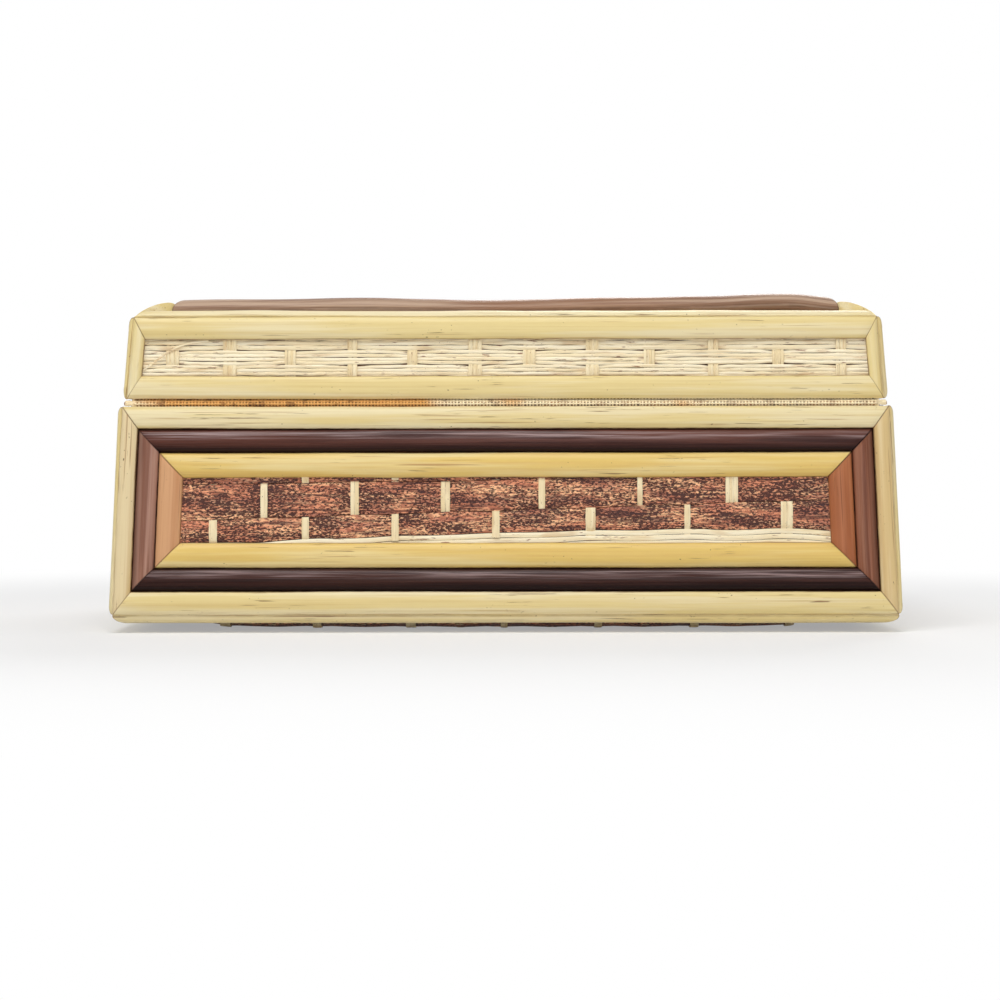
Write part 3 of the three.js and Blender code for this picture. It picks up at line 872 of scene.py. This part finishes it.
# the bow of the long dark cane of the hinge side, as places and rises in millimetres
BOW = ((-103.0, 0.3), (-60.0, 0.7), (0.0, 0.4), (60.0, 1.1), (88.0, 2.0), (103.0, 0.7))


def line_height(line, x, smooth=False):
    """The height at x of a line of points, straight or smooth between them."""
    for (x0, y0), (x1, y1) in zip(line, line[1:]):
        if x <= x1:
            share = max(0.0, min(1.0, (x - x0) / (x1 - x0)))
            if smooth:
                share = share * share * (3 - 2 * share)
            return y0 + (y1 - y0) * share
    return line[-1][1]


for side, place in enumerate(PLACES):
    undarkened = (FAINTEST_GROOVE, 0) if place == "high" else None
    cane = ring_cane(rings["lid_back"], side, OUTER_HEEL, undarkened=undarkened, eased=place == "low")
    nodes = [rings["lid_back"].nodes[side]]
    finish_piece(cane, "lid_back_cane_" + place, pale_cane, "lid", nodes)
for side in PLAIN_SIDES:
    ring_pieces("lid_" + side, rings["lid_" + side], OUTER_HEEL, pale_cane, pale_cane, "lid")
top_pale = rings["lid_top_pale"]
top_looks = {"undarkened": (FAINTEST_GROOVE, 0), "swell": TOP_SWELL, "sanded": True}
canes = [ring_cane(top_pale, side, OUTER_HEEL, TOP_CANE_RISE, **top_looks) for side in LONG_SIDES]
canes += [ring_cane(top_pale, side, **END_CANE) for side in SHORT_SIDES]
finish_piece(join(canes), "lid_top_pale_canes", pale_cane, "lid", top_pale.nodes)
top_dark = rings["lid_top_dark"]
canes = [ring_cane(top_dark, side, TOP_DARK_HEEL, swell=TOP_SWELL) for side in LONG_SIDES]
for vertex in canes[0].data.vertices:
    vertex.co.z += line_height(BOW, vertex.co.x / mm, smooth=True) * mm
finish_piece(join(canes), "lid_top_dark_long_canes", faded_cane, "lid", top_dark.nodes)
canes = [ring_cane(top_dark, side, TOP_DARK_HEEL) for side in SHORT_SIDES]
finish_piece(join(canes), "lid_top_dark_short_canes", brown_cane, "lid", top_dark.nodes)
ring_pieces("lid_top_inner", rings["lid_top_inner"], TOP_INNER_HEEL, gold_cane, tan_cane, "lid")
ring_pieces("underside_pale", rings["underside"], OUTER_HEEL, pale_cane, pale_cane, "base")

# %% [markdown]
# A splint is a thin strip that goes over and under its neighbours. A bezier curve gives
# that wave in a few points, and a flat bevel profile gives the strip. The radius at each
# point lets it swell where it lies free and pinch where it is crossed. The curve becomes a
# mesh, its end caps are merged on, and what would reach under a rail is trimmed.

# %% Helpers for splints
STRIP_STEPS = 6
STRIP_MERGE = 0.01 * mm
UNDER_RAIL = 0.5 * mm


def add_curve(name, kind, count, **settings):
    """A curve object with one spline of this many points, and the spline."""
    curve = bpy.data.curves.new(name, "CURVE")
    for setting, value in settings.items():
        setattr(curve, setting, value)
    spline = curve.splines.new(kind)
    (spline.bezier_points if kind == "BEZIER" else spline.points).add(count - 1)
    piece = bpy.data.objects.new(name, curve)
    bpy.context.scene.collection.objects.link(piece)
    return piece, spline


def strip_profile(name, width, thickness):
    """A flat strip section with rounded edges and a slight crown."""
    half = width / 2
    round_off = min(thickness * 0.6, half * 0.5)
    right_side = (
        (half - round_off, -thickness / 2), (half, -thickness * 0.2), (half, thickness * 0.1),
        (half - round_off, thickness * 0.36), (half * 0.45, thickness * 0.5),
    )
    left_side = [(-x, y) for x, y in reversed(right_side)]
    outline = [left_side[-1], *right_side, *left_side[:-1]]
    profile, spline = add_curve(name, "POLY", len(outline), dimensions="2D")
    for point, (x, y) in zip(spline.points, outline):
        point.co = (x, y, 0.0, 1.0)
    spline.use_cyclic_u = True
    return profile


def smooth_curve(name, points, **settings):
    """A smooth curve through points of x, y, z and width share."""
    piece, spline = add_curve(
        name, "BEZIER", len(points), dimensions="3D", use_fill_caps=True, **settings
    )
    for knot, (x, y, z, share) in zip(spline.bezier_points, points):
        knot.co = (x, y, z)
        knot.radius = share
        knot.handle_left_type = "AUTO"
        knot.handle_right_type = "AUTO"
    return piece


def to_mesh(pieces, merge, trims=()):
    """Curves as one closed mesh, with its caps merged on, cut along the planes of trims."""
    select_only(*pieces)
    bpy.ops.object.convert(target="MESH")
    if len(pieces) > 1:
        join(pieces)
    bpy.ops.object.mode_set(mode="EDIT")
    bpy.ops.mesh.select_all(action="SELECT")
    bpy.ops.mesh.remove_doubles(threshold=merge)
    bpy.ops.mesh.normals_make_consistent(inside=False)
    for place, normal in trims:
        keep_side(place, normal)
    bpy.ops.object.mode_set(mode="OBJECT")
    return pieces[0]


def strand(points, profile, crosswise=False, trims=()):
    """One splint through points of x, y, height and width share, as a closed mesh."""
    piece = smooth_curve(
        "strand", points, twist_mode="Z_UP", resolution_u=STRIP_STEPS,
        bevel_mode="OBJECT", bevel_object=profile,
    )
    to_mesh([piece], STRIP_MERGE, trims)
    write_grain(piece, crosswise)
    return piece


def lay(strands, name, face, finish, body, nodes, belly=None):
    """Joins strands, raises them by the face's belly and lays them on it."""
    piece = join(strands)
    if belly:
        for vertex in piece.data.vertices:
            vertex.co.z += belly(vertex.co.x, vertex.co.y)
    piece.data.transform(faces[face])
    finish_piece(piece, name, finish, body, nodes)


def edge_planes(corners, overlap=0.0):
    """The planes through the sides of four corners, or this far outside them."""
    planes = []
    for start, end in zip(corners, corners[1:] + corners[:1]):
        inwards = Vector((start.y - end.y, end.x - start.x, 0.0)).normalized()
        planes.append((start - inwards * overlap, inwards))
    return planes


print("steps between curve points:", STRIP_STEPS)

# %% [markdown]
# On each base wall lies a mat of wide speckled bark splints with narrow pale weavers over
# them in turn. On the hinge side the mat was set a little askew: its rows climb to the
# right, and thin pale splints fill the wedge that this leaves at the bottom.

# %% Mat of the hinge side
MAT_HEIGHT = 1.98 * mm
OVER = 0.20 * mm
LIFT = 0.36 * mm
BARK_THICKNESS = 0.42 * mm
WEAVER_THICKNESS = 0.36 * mm
# the wave of a weaver over each row: its way from the middle, share of the lift and of the width
WEAVER_WAVE = ((-1, 0.8, 0.94), (0, 1.15, 1.0), (1, 0.8, 0.94))
MAT_TURN = 0.0315
WEAVER_SLACK = 0.94
# widths, steps, gaps and places from here on are in millimetres
BARK_WIDTH = 9.0
BARK_STEP = 4.8
WEAVER_WIDTH = 2.6
CROSSING_HALF = 0.75
LEAST_HOLD = 0.2
THIN_SPLINTS = 3
THIN_WIDTH = 1.5
THIN_START = 0.95
THIN_PITCH = 1.62
THIN_STEPS = 24
THIN_SWELL = 0.08
ROW_GAP = 0.08
PINCH = 0.28
CROSSED = 0.2
TOPMOST_GAP = 0.2
PULL_RUN = 4.0
TUCKED_LOW = 4
FREE_LOW = 2.5
TUCK_HIGH = 8
ROW_LINE = 30.3
BACK_REACH = 98.5
# places and widths of the pale weavers that show on each row
LOWER_WEAVERS = (
    (-88.3, 2.7), (-60.4, 2.4), (-33.3, 2.4), (-2.9, 2.5), (25.7, 3.3), (54.9, 2.0), (84.9, 3.9),
)
TUCKED_WEAVERS = (-88.3, -60.4, 25.7, 54.9, 84.9)
UPPER_WEAVERS = (
    (-72.9, 2.3), (-45.5, 2.7), (-18.1, 3.0), (11.0, 2.2), (40.6, 1.7), (68.3, 4.0),
)
# how far up the topmost row hides each of the lower weavers again
HIDDEN = {-88.3: 2.5, -33.3: 0.9, -2.9: 2.5, 25.7: 2.5, 54.9: 2.5, 84.9: 2.5}
LOWER_EDGE = (
    (-97.0, 20.4), (-87.9, 20.9), (-73.7, 20.7), (-60.1, 22.0), (-45.0, 21.9), (-33.1, 22.8),
    (-19.2, 22.8), (-2.9, 23.7), (12.0, 23.7), (25.9, 24.5), (40.0, 24.2), (55.2, 24.9),
    (68.6, 24.2), (85.2, 25.1), (98.2, 24.0),
)
TOP_EDGE = (
    (-97.0, 38.0), (-72.2, 38.3), (-44.9, 38.9), (-17.7, 38.8), (11.4, 39.9), (41.0, 40.8),
    (98.0, 42.0),
)
bark_profile = strip_profile("bark_profile", BARK_WIDTH * mm, BARK_THICKNESS)
weaver_profile = strip_profile("weaver_profile", WEAVER_WIDTH * mm, WEAVER_THICKNESS)
thin_profile = strip_profile("thin_profile", THIN_WIDTH * mm, WEAVER_THICKNESS)
back_trims = edge_planes(rings["base_back_inner"].inner, UNDER_RAIL)


def pull(weavers, x):
    """How much a weaver presses a splint at x, from 0 to 1."""
    return max(math.exp(-(((x - place) / PULL_RUN) ** 2)) for place, _ in weavers)


def row_line(x):
    return ROW_LINE + MAT_TURN * x


def bark_row(edges, visible, hidden, reach, trims):
    """A wide splint between two edges, low under its visible weavers and high over others."""
    count = int(2 * reach / BARK_STEP)
    points = []
    for k in range(count + 1):
        x = -reach + 2 * reach * k / count
        low, high = edges(x)
        height = MAT_HEIGHT + OVER * (pull(hidden, x) - pull(visible, x))
        points.append((x * mm, (low + high) / 2 * mm, height, (high - low) / BARK_WIDTH))
    return strand(points, bark_profile, trims=trims)


def mat_weaver(x, width, levels, over, strands, trims):
    """A weaver up the mat at x, in strands, over one row and under the next. It starts over
    the lowest row or under it, and levels are the lines between the rows."""
    pieces = []
    part = width / strands
    share = part / WEAVER_WIDTH
    for k in range(strands):
        centre = x + (k - (strands - 1) / 2) * part
        points = []
        for row, (low, high) in enumerate(zip(levels, levels[1:])):
            lift = LIFT if over == (row % 2 == 0) else -LIFT
            middle = (low + high) / 2
            hold = max(LEAST_HOLD, (high - low) / 2 - CROSSING_HALF)
            for way, raised, wide in WEAVER_WAVE:
                y = (middle + way * hold) * mm
                points.append((centre * mm, y, MAT_HEIGHT + lift * raised, share * wide))
        pieces.append(strand(points, weaver_profile, True, trims))
    return pieces


def split(width, *limits):
    """How many strands a weaver is split into: one more for each limit that it passes."""
    return 1 + sum(width > limit for limit in limits)


def lower_row(x):
    squeeze = PINCH * pull(LOWER_WEAVERS, x) - CROSSED * pull(UPPER_WEAVERS, x)
    return line_height(LOWER_EDGE, x), row_line(x) - ROW_GAP - squeeze


def upper_row(x):
    squeeze = PINCH * pull(UPPER_WEAVERS, x) - CROSSED * pull(LOWER_WEAVERS, x)
    return row_line(x) + ROW_GAP + squeeze, line_height(TOP_EDGE, x)


def topmost_row(x):
    top = line_height(TOP_EDGE, x)
    return top + TOPMOST_GAP, top + TUCK_HIGH


rows = [
    bark_row(lower_row, LOWER_WEAVERS, UPPER_WEAVERS, BACK_REACH, back_trims),
    bark_row(upper_row, UPPER_WEAVERS, LOWER_WEAVERS, BACK_REACH, back_trims),
    bark_row(topmost_row, LOWER_WEAVERS, UPPER_WEAVERS, BACK_REACH, back_trims),
]
lay(rows, "base_back_bark_splints", "base_back", bark_splint, "base", ["base_back_dark_panel"])

weavers = []
for x, width in LOWER_WEAVERS:
    top = line_height(TOP_EDGE, x) + HIDDEN.get(x, 0.0)
    edge = line_height(LOWER_EDGE, x)
    tucked = x in TUCKED_WEAVERS
    levels = (edge - TUCKED_LOW, edge) if tucked else (edge - FREE_LOW,)
    levels += (row_line(x), top, line_height(TOP_EDGE, x) + TUCK_HIGH)
    count = split(width, 3.5)
    weavers += mat_weaver(x, width * WEAVER_SLACK, levels, not tucked, count, back_trims)
for x, width in UPPER_WEAVERS:
    top = line_height(TOP_EDGE, x)
    levels = (line_height(LOWER_EDGE, x), row_line(x), top, top + TUCK_HIGH)
    count = split(width, 2.6, 3)
    weavers += mat_weaver(x, width * WEAVER_SLACK, levels, False, count, back_trims)
lay(weavers, "base_back_weavers", "base_back", pale_weaver, "base", ["base_back_weaver_sheet"])

fillers = []
for order in range(THIN_SPLINTS):
    points = []
    for k in range(THIN_STEPS + 1):
        x = -BACK_REACH + 2 * BACK_REACH * k / THIN_STEPS
        wave = pull(UPPER_WEAVERS, x) - pull(LOWER_WEAVERS, x)
        y = line_height(LOWER_EDGE, x) - THIN_START - THIN_PITCH * order
        points.append((x * mm, y * mm, MAT_HEIGHT + OVER * wave, 1 + THIN_SWELL * wave))
    fillers.append(strand(points, thin_profile, trims=back_trims))
lay(fillers, "base_back_pale_splints", "base_back", cream_splint, "base", ["base_back_dark_panel"])
print("strands in the mat:", len(rows) + len(weavers) + len(fillers))

# %% [markdown]
# The other three walls get the same mat, laid straight. Places and widths vary a little
# from splint to splint, as hand cut ones do.

# %% Mats of the other walls
WEAVER_PITCH = 14.4
WEAVER_WIDTHS = (2.1, 3.4)
CORNER_SPARE = 3
RUN_ON = 0.4
# how far a row line, its far end and a weaver may lie from their even places
LINE_JITTER = 0.5
END_JITTER = 0.6
WEAVER_JITTER = 0.7


def straight_mat(prefix, ring, body, dark_node, weaver_node, row_height, belly=None):
    """Rows of bark splints with weavers over them in turn, filling a ring's opening. A row
    is about as high as given, and the splints run on a little under the rails."""
    trims = edge_planes(ring.inner, UNDER_RAIL)
    low = ring.inner[0].y / mm
    high = ring.inner[2].y / mm
    reach = max(corner.x for corner in ring.inner) / mm + RUN_ON
    count = max(2, round((high - low) / row_height))
    lines = [low - RUN_ON + (high - low + 2 * RUN_ON) * k / count for k in range(count + 1)]
    for k in range(1, count):
        lines[k] += jitter(LINE_JITTER)
    tilt = [jitter(END_JITTER) / reach for _ in lines]
    tilt[0] = tilt[-1] = 0.0
    most = int((reach - CORNER_SPARE) / WEAVER_PITCH)
    places = [
        (k * WEAVER_PITCH + jitter(WEAVER_JITTER), chance.uniform(*WEAVER_WIDTHS), k % 2)
        for k in range(-most, most + 1)
    ]
    groups = [[(x, width) for x, width, turn in places if turn == parity] for parity in (0, 1)]
    barks = []
    for k in range(count):
        visible = groups[k % 2]

        def edges(x):
            squeeze = ROW_GAP + PINCH * pull(visible, x)
            return lines[k] + tilt[k] * x + squeeze, lines[k + 1] + tilt[k + 1] * x - squeeze

        barks.append(bark_row(edges, visible, groups[(k + 1) % 2], reach, trims))
    lay(barks, prefix + "_bark_splints", ring.face, bark_splint, body, [dark_node], belly)
    pales = []
    for x, width, turn in places:
        levels = [line + slope * x for line, slope in zip(lines, tilt)]
        pales += mat_weaver(x, width, levels, turn == 0, split(width, 3.0), trims)
    lay(pales, prefix + "_weavers", ring.face, pale_weaver, body, [weaver_node], belly)
    return len(barks) + len(pales)


for side in PLAIN_SIDES:
    wall = "base_" + side
    total = straight_mat(
        wall, rings[wall + "_inner"], "base", wall + "_dark_panel", wall + "_weaver_sheet", 10.2
    )
    print(side, "strands:", total)

# %% [markdown]
# On the lid's top the mat swells up inside its rings, and on the underside it swells down
# to the table and carries the chest. A rise over the whole mat, steep at the rings and
# level in the middle, gives both.

# %% Mats of the top and the underside
CORNER_POWER = -4.0
BELLY_POWER = 1.7


def swell(ring, low, edge, middle, shoulder, step_run=2.5, ends=1.0):
    """The rise of a bellied mat above a flat one, as a function of place. Its ends can be
    this many times gentler than its long sides."""
    half_x = ring.inner[1].x / mm
    half_y = ring.inner[2].y / mm

    def rise(x, y):
        gap_x = max(0.0, half_x - abs(x) / mm) / ends + 0.01
        gap_y = max(0.0, half_y - abs(y) / mm) + 0.01
        gap = (gap_x ** CORNER_POWER + gap_y ** CORNER_POWER) ** (1 / CORNER_POWER)
        step = min(1.0, gap / step_run)
        share = min(1.0, gap / shoulder)
        height = low + (edge - low) * step * step * (3 - 2 * step)
        height += (middle - edge) * (1 - (1 - share) ** BELLY_POWER)
        return height * mm - MAT_HEIGHT

    return rise


top_belly = swell(rings["lid_top_inner"], 2.0, 4.2, 5.9, 16)
under_belly = swell(rings["underside"], 0.9, 5.0, 6.04, 22, 3.6, 7.0)
for prefix, ring, body, belly in (
    ("lid_top", rings["lid_top_inner"], "lid", top_belly),
    ("underside", rings["underside"], "base", under_belly),
):
    node = prefix + "_dark_panel"
    straight_mat(prefix, ring, body, node, node, 10.4, belly)
underside = bpy.data.objects["underside_bark_splints"]
lowest = min(vertex.co.z for vertex in underside.data.vertices)
print("lowest point of the mat in mm:", round(lowest / mm, 2))

# %% [markdown]
# Behind each mat lies a sheet of brown paper, glued to the board. Its dark brown, dirt and
# painted shade, is what darkens the small gaps of the weave.

# %% Backing sheets
PAPER_FOOT = 0.3 * mm
BASE_PAPER_TOP = 1.2 * mm
LID_PAPER_TOP = 1.15 * mm
UNDER_PAPER_TOP = 0.6 * mm
FLAT_BELOW = 1.25 * mm


def sheet_corners(face, node):
    """The four corners of the flat part of a sheet, from its frame node."""
    inverse = faces[face].inverted()
    spots = [inverse @ point for point in points_of(node)]
    spots = [spot for spot in spots if spot.z < FLAT_BELOW]
    corners = []
    for way_x, way_y in CORNER_WAYS:
        corners.append(max(spots, key=lambda spot: spot.x * way_x + spot.y * way_y).copy())
        corners[-1].z = 0.0
    return corners


def paper_sheet(face, corners, top, body, node):
    """A thin sheet over four corners, up to this height."""
    reach = max(corner.length for corner in corners)
    bpy.ops.mesh.primitive_cube_add(size=1, location=(0, 0, (PAPER_FOOT + top) / 2))
    sheet = bpy.context.object
    sheet.scale = (4 * reach, 4 * reach, top - PAPER_FOOT)
    bpy.ops.object.transform_apply(location=True, rotation=True, scale=True)
    bpy.ops.object.mode_set(mode="EDIT")
    for place, normal in edge_planes(corners):
        keep_side(place, normal)
    bpy.ops.object.mode_set(mode="OBJECT")
    sheet.data.transform(faces[face])
    finish_piece(sheet, face + "_paper", paper_dirt_and_shade, body, [node])


for side in OUTWARDS:
    face = "base_" + side
    node = face + "_weaver_sheet"
    paper_sheet(face, sheet_corners(face, node), BASE_PAPER_TOP, "base", node)
    face = "lid_" + side
    node = face + "_woven_panel"
    paper_sheet(face, sheet_corners(face, node), LID_PAPER_TOP, "lid", node)
corners = sheet_corners("lid_top", "lid_top_sheet")
paper_sheet("lid_top", corners, BASE_PAPER_TOP, "lid", "lid_top_sheet")
corners = rings["underside"].inner
paper_sheet("underside", corners, UNDER_PAPER_TOP, "base", "underside_dark_panel")

# %% [markdown]
# The lid's walls have a finer mat, all cream: three rows of three or four thin strands.
# The strands of a row spread out where a weaver runs behind them and draw together where
# it comes over, so brown gaps shaped like lenses open beside each crossing.

# %% Mats of the lid walls
LID_HEIGHT = 1.72 * mm
LID_OVER = 0.30 * mm
LID_LIFT = 1.25 * LID_OVER
LID_THICKNESS = 0.42 * mm
LID_ROWS = 3
# the numbers of strands that a row and a weaver can have, the likelier ones twice
STRANDS_OF_ROW = (3, 4, 4)
STRANDS_OF_WEAVER = (2, 3, 3, 4)
# a strand's share of the wave, and its width as a share of its room, with the change in a wave
STRAND_WAVE = 0.8
STRAND_FILL = 0.93
STRAND_SWELL = 0.03
FILL_JITTER = (-0.08, 0.06)
# how much the strands of a row spread where they lie over a weaver and draw together under it
SPREAD = 0.04
DRAWN = 0.16
# the wave of a weaver over each row: its way from the middle and its share of the lift
LID_WAVE = ((-0.3, 0.85), (0.0, 1.1), (0.3, 0.85))
# widths, steps, margins and places from here on are in millimetres
LID_STRAND = 1.3
LID_STEP = 3.0
LID_PITCH = 18.4
LID_WIDTHS = (2.9, 4.0)
LID_MARGIN_LOW = 1.0
LID_MARGIN_HIGH = 1.3
LID_CORNER_SPARE = 2
CROSSING_RUN = 4.2
DRIFT = 0.12
DRIFT_RUN = 17
STRAND_JITTER = 0.07
HEIGHT_JITTER = 0.08
LID_WEAVER_JITTER = 0.08
CROSSING_JITTER = 0.8
# the weavers that show on the outer rows and on the middle row
OUTER_CROSSINGS = (-83.5, -46.3, -9.1, 26.3, 63.0, 101.7)
MIDDLE_CROSSINGS = (-100.8, -65.1, -28.1, 7.3, 43.6, 82.6)
# a loose strand that lies over the mat at one end of the hinge side
STRAY_STRAND = (
    (-109.6, 10.0, 2.1), (-106.0, 12.6, 2.45), (-102.0, 15.4, 2.5), (-97.5, 17.6, 2.45),
    (-93.0, 18.6, 2.2), (-90.0, 18.9, 1.8),
)
STRAY_SHARE = 0.42
lid_profile = strip_profile("lid_profile", LID_STRAND * mm, LID_THICKNESS)


def lid_crossings(side, reach):
    """The places of a wall's weavers, each with 0 for the outer rows or 1 for the middle."""
    if side == "back":
        return [(x, 0) for x in OUTER_CROSSINGS] + [(x, 1) for x in MIDDLE_CROSSINGS]
    most = int((reach - LID_CORNER_SPARE) / LID_PITCH)
    return [(k * LID_PITCH + jitter(CROSSING_JITTER), k % 2) for k in range(-most, most + 1)]


def lid_mat(side):
    face = "lid_" + side
    ring = rings[face]
    nodes = [face + "_woven_panel"]
    trims = edge_planes(ring.inner, UNDER_RAIL)
    low = ring.inner[0].y / mm - LID_MARGIN_LOW
    high = ring.inner[2].y / mm + LID_MARGIN_HIGH
    reach = max(corner.x for corner in ring.inner) / mm + RUN_ON
    row_height = (high - low) / LID_ROWS
    crossings = lid_crossings(side, reach)

    def wave_at(x, row):
        """Below 0 where a weaver comes over the row, and above 0 where it runs behind."""
        return sum(
            (-1 if turn == row % 2 else 1) * math.exp(-(((x - place) / CROSSING_RUN) ** 2))
            for place, turn in crossings
        )

    creams = []
    for row in range(LID_ROWS):
        count = chance.choice(STRANDS_OF_ROW)
        gap = row_height / count
        centre = low + (row + 0.5) * row_height
        drift = [jitter(DRIFT) for _ in range(count)]
        steps = int(2 * reach / LID_STEP)
        for k in range(count):
            points = []
            for step in range(steps + 1):
                x = -reach + 2 * reach * step / steps
                wave = wave_at(x, row)
                spread = 1 + SPREAD * wave - DRAWN * max(0.0, -wave)
                stray = drift[k] * math.sin(x / DRIFT_RUN + k * 2) + jitter(STRAND_JITTER)
                y = centre + (k - (count - 1) / 2) * gap * spread + stray
                height = LID_HEIGHT + LID_OVER * wave * STRAND_WAVE + jitter(HEIGHT_JITTER) * mm
                share = STRAND_FILL + STRAND_SWELL * wave + chance.uniform(*FILL_JITTER)
                points.append((x * mm, y * mm, height, gap / LID_STRAND * share))
            creams.append(strand(points, lid_profile, trims=trims))
    if side == "back":
        points = [(x * mm, y * mm, z * mm, STRAY_SHARE) for x, y, z in STRAY_STRAND]
        creams.append(strand(points, lid_profile, trims=trims))
    lay(creams, face + "_cream_splints", face, cream_splint, "lid", nodes)
    pales = []
    for place, turn in crossings:
        count = chance.choice(STRANDS_OF_WEAVER)
        part = chance.uniform(*LID_WIDTHS) / count
        for k in range(count):
            x = place + (k - (count - 1) / 2) * part + jitter(LID_WEAVER_JITTER)
            points = []
            for row in range(LID_ROWS):
                lift = LID_LIFT if turn == row % 2 else -LID_OVER
                y = low + (row + 0.5) * row_height
                for offset, raised in LID_WAVE:
                    height = LID_HEIGHT + lift * raised
                    points.append(
                        (x * mm, (y + offset * row_height) * mm, height, part / LID_STRAND)
                    )
            pales.append(strand(points, lid_profile, True, trims))
    lay(pales, face + "_weavers", face, pale_weaver, "lid", nodes)
    return len(creams) + len(pales)


for side in OUTWARDS:
    print(side, "strands:", lid_mat(side))

# %% [markdown]
# The hinge is a strip of coarse cotton cloth, glued to the back of the base and of the lid
# with its bare middle bulging out of the seam. A thin ground follows that section, and
# real threads are woven over it, long ones along the seam and short ones across it.

# %% Cloth hinge
# the cloth's lengths, places and rises in millimetres, and how much of it is left gathered
TAPE_HALF = 115.3
GATHERED_FROM = 112.0
GATHERED = 0.12
SEAM = 69.2
THREAD_PITCH = 1.0
THREAD_RADIUS = 0.27
THREAD_OVER = 0.26
THREAD_UNDER = -0.02
PITCH_JITTER = 0.12
THREAD_JITTER = 0.05
THREAD_MERGE = 0.004 * mm
GROUND_RISE = -0.12
GROUND_THICKNESS = 0.2 * mm
GROUND_CELLS = (112, 26)


def wall_depth(face, z, rise):
    """The Y of a point this far out from a back wall, at this height, in millimetres."""
    up, out, origin = faces[face].col[1:]
    climb = (z * mm - origin.z) / up.z
    return (origin.y + up.y * climb + out.y * rise * mm) / mm


tape_low, tape_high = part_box("cloth_hinge_tape")
# the tape's middle line as height and depth in millimetres, from its lower edge up
TAPE_LINE = (
    (tape_low.z / mm + 0.1, wall_depth("base_back", tape_low.z / mm, 0.75)),
    (SEAM - 1.1, wall_depth("base_back", SEAM - 1.1, 0.85)),
    (SEAM - 0.55, wall_depth("base_back", SEAM, 1.75)),
    (SEAM + 0.25, wall_depth("base_back", SEAM, 1.8)),
    (SEAM + 1.1, wall_depth("lid_back", SEAM + 1.1, 0.95)),
    (tape_high.z / mm - 0.1, wall_depth("lid_back", tape_high.z / mm, 0.75)),
)
tape_lengths = [0.0]
for (z0, y0), (z1, y1) in zip(TAPE_LINE, TAPE_LINE[1:]):
    tape_lengths.append(tape_lengths[-1] + math.hypot(z1 - z0, y1 - y0))
tape_width = tape_lengths[-1]


def tape_point(x, run, rise):
    """X, Y and Z in millimetres at this run over the cloth, and this far out from it. Past
    the last board the cloth is gathered into the seam."""
    if abs(x) > GATHERED_FROM:
        run = tape_width * (0.5 + (run / tape_width - 0.5) * GATHERED)
    k = 0
    while run > tape_lengths[k + 1] and k < len(TAPE_LINE) - 2:
        k += 1
    share = (run - tape_lengths[k]) / (tape_lengths[k + 1] - tape_lengths[k])
    z0, y0 = TAPE_LINE[k]
    z1, y1 = TAPE_LINE[k + 1]
    length = math.hypot(z1 - z0, y1 - y0)
    y = y0 + (y1 - y0) * share - rise * (z1 - z0) / length
    z = z0 + (z1 - z0) * share + rise * (y1 - y0) / length
    return x, y, z


def thread(places):
    """A round thread through places in millimetres."""
    points = [(x * mm, y * mm, z * mm, 1.0) for x, y, z in places]
    return smooth_curve(
        "thread", points, resolution_u=2, bevel_depth=THREAD_RADIUS * mm, bevel_resolution=1
    )


bpy.ops.mesh.primitive_grid_add(
    x_subdivisions=GROUND_CELLS[0], y_subdivisions=GROUND_CELLS[1], size=1
)
ground = bpy.context.object
for vertex in ground.data.vertices:
    run = (vertex.co.y + 0.5) * tape_width
    place = tape_point(vertex.co.x * 2 * TAPE_HALF, run, GROUND_RISE)
    vertex.co = [value * mm for value in place]
thickness = ground.modifiers.new("thickness", "SOLIDIFY")
thickness.thickness = GROUND_THICKNESS
thickness.offset = 0.0
apply_modifiers(ground)

cross_count = int(2 * TAPE_HALF / THREAD_PITCH)
long_count = int(tape_width / THREAD_PITCH)
cross_places = [
    -TAPE_HALF + (k + 0.5) * 2 * TAPE_HALF / cross_count + jitter(PITCH_JITTER)
    for k in range(cross_count)
]
long_runs = [(k + 0.5) * tape_width / long_count for k in range(long_count)]
cross_threads = []
for k, x in enumerate(cross_places):
    places = []
    for j, run in enumerate(long_runs):
        rise = THREAD_OVER if (j + k) % 2 else THREAD_UNDER
        places.append(tape_point(x + jitter(THREAD_JITTER), run, rise))
    cross_threads.append(thread(places))
long_threads = []
for j, run in enumerate(long_runs):
    places = []
    for k, x in enumerate(cross_places):
        rise = THREAD_UNDER if (j + k) % 2 else THREAD_OVER
        places.append(tape_point(x, run + jitter(THREAD_JITTER), rise))
    long_threads.append(thread(places))
cross = to_mesh(cross_threads, THREAD_MERGE)
long_way = to_mesh(long_threads, THREAD_MERGE)
for piece, name, finish in (
    (ground, "hinge_tape_ground", glue_and_pit_shade),
    (cross, "hinge_tape_cross", cotton_tape),
    (long_way, "hinge_tape_long", cotton_tape),
):
    finish_piece(piece, name, finish, None, ["cloth_hinge_tape"])
    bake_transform(piece)
print("threads:", cross_count, "across and", long_count, "along")

# %% [markdown]
# Helpers that aren't part of the chest go away, and the triangles of the shown pieces are
# counted.

# %% Measure and finish
for helper in (guide, bark_profile, weaver_profile, thin_profile, lid_profile):
    bpy.data.objects.remove(helper)
triangles = 0
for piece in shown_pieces():
    if piece.type == "MESH":
        triangles += sum(len(face.vertices) - 2 for face in piece.data.polygons)
print("triangles:", triangles)
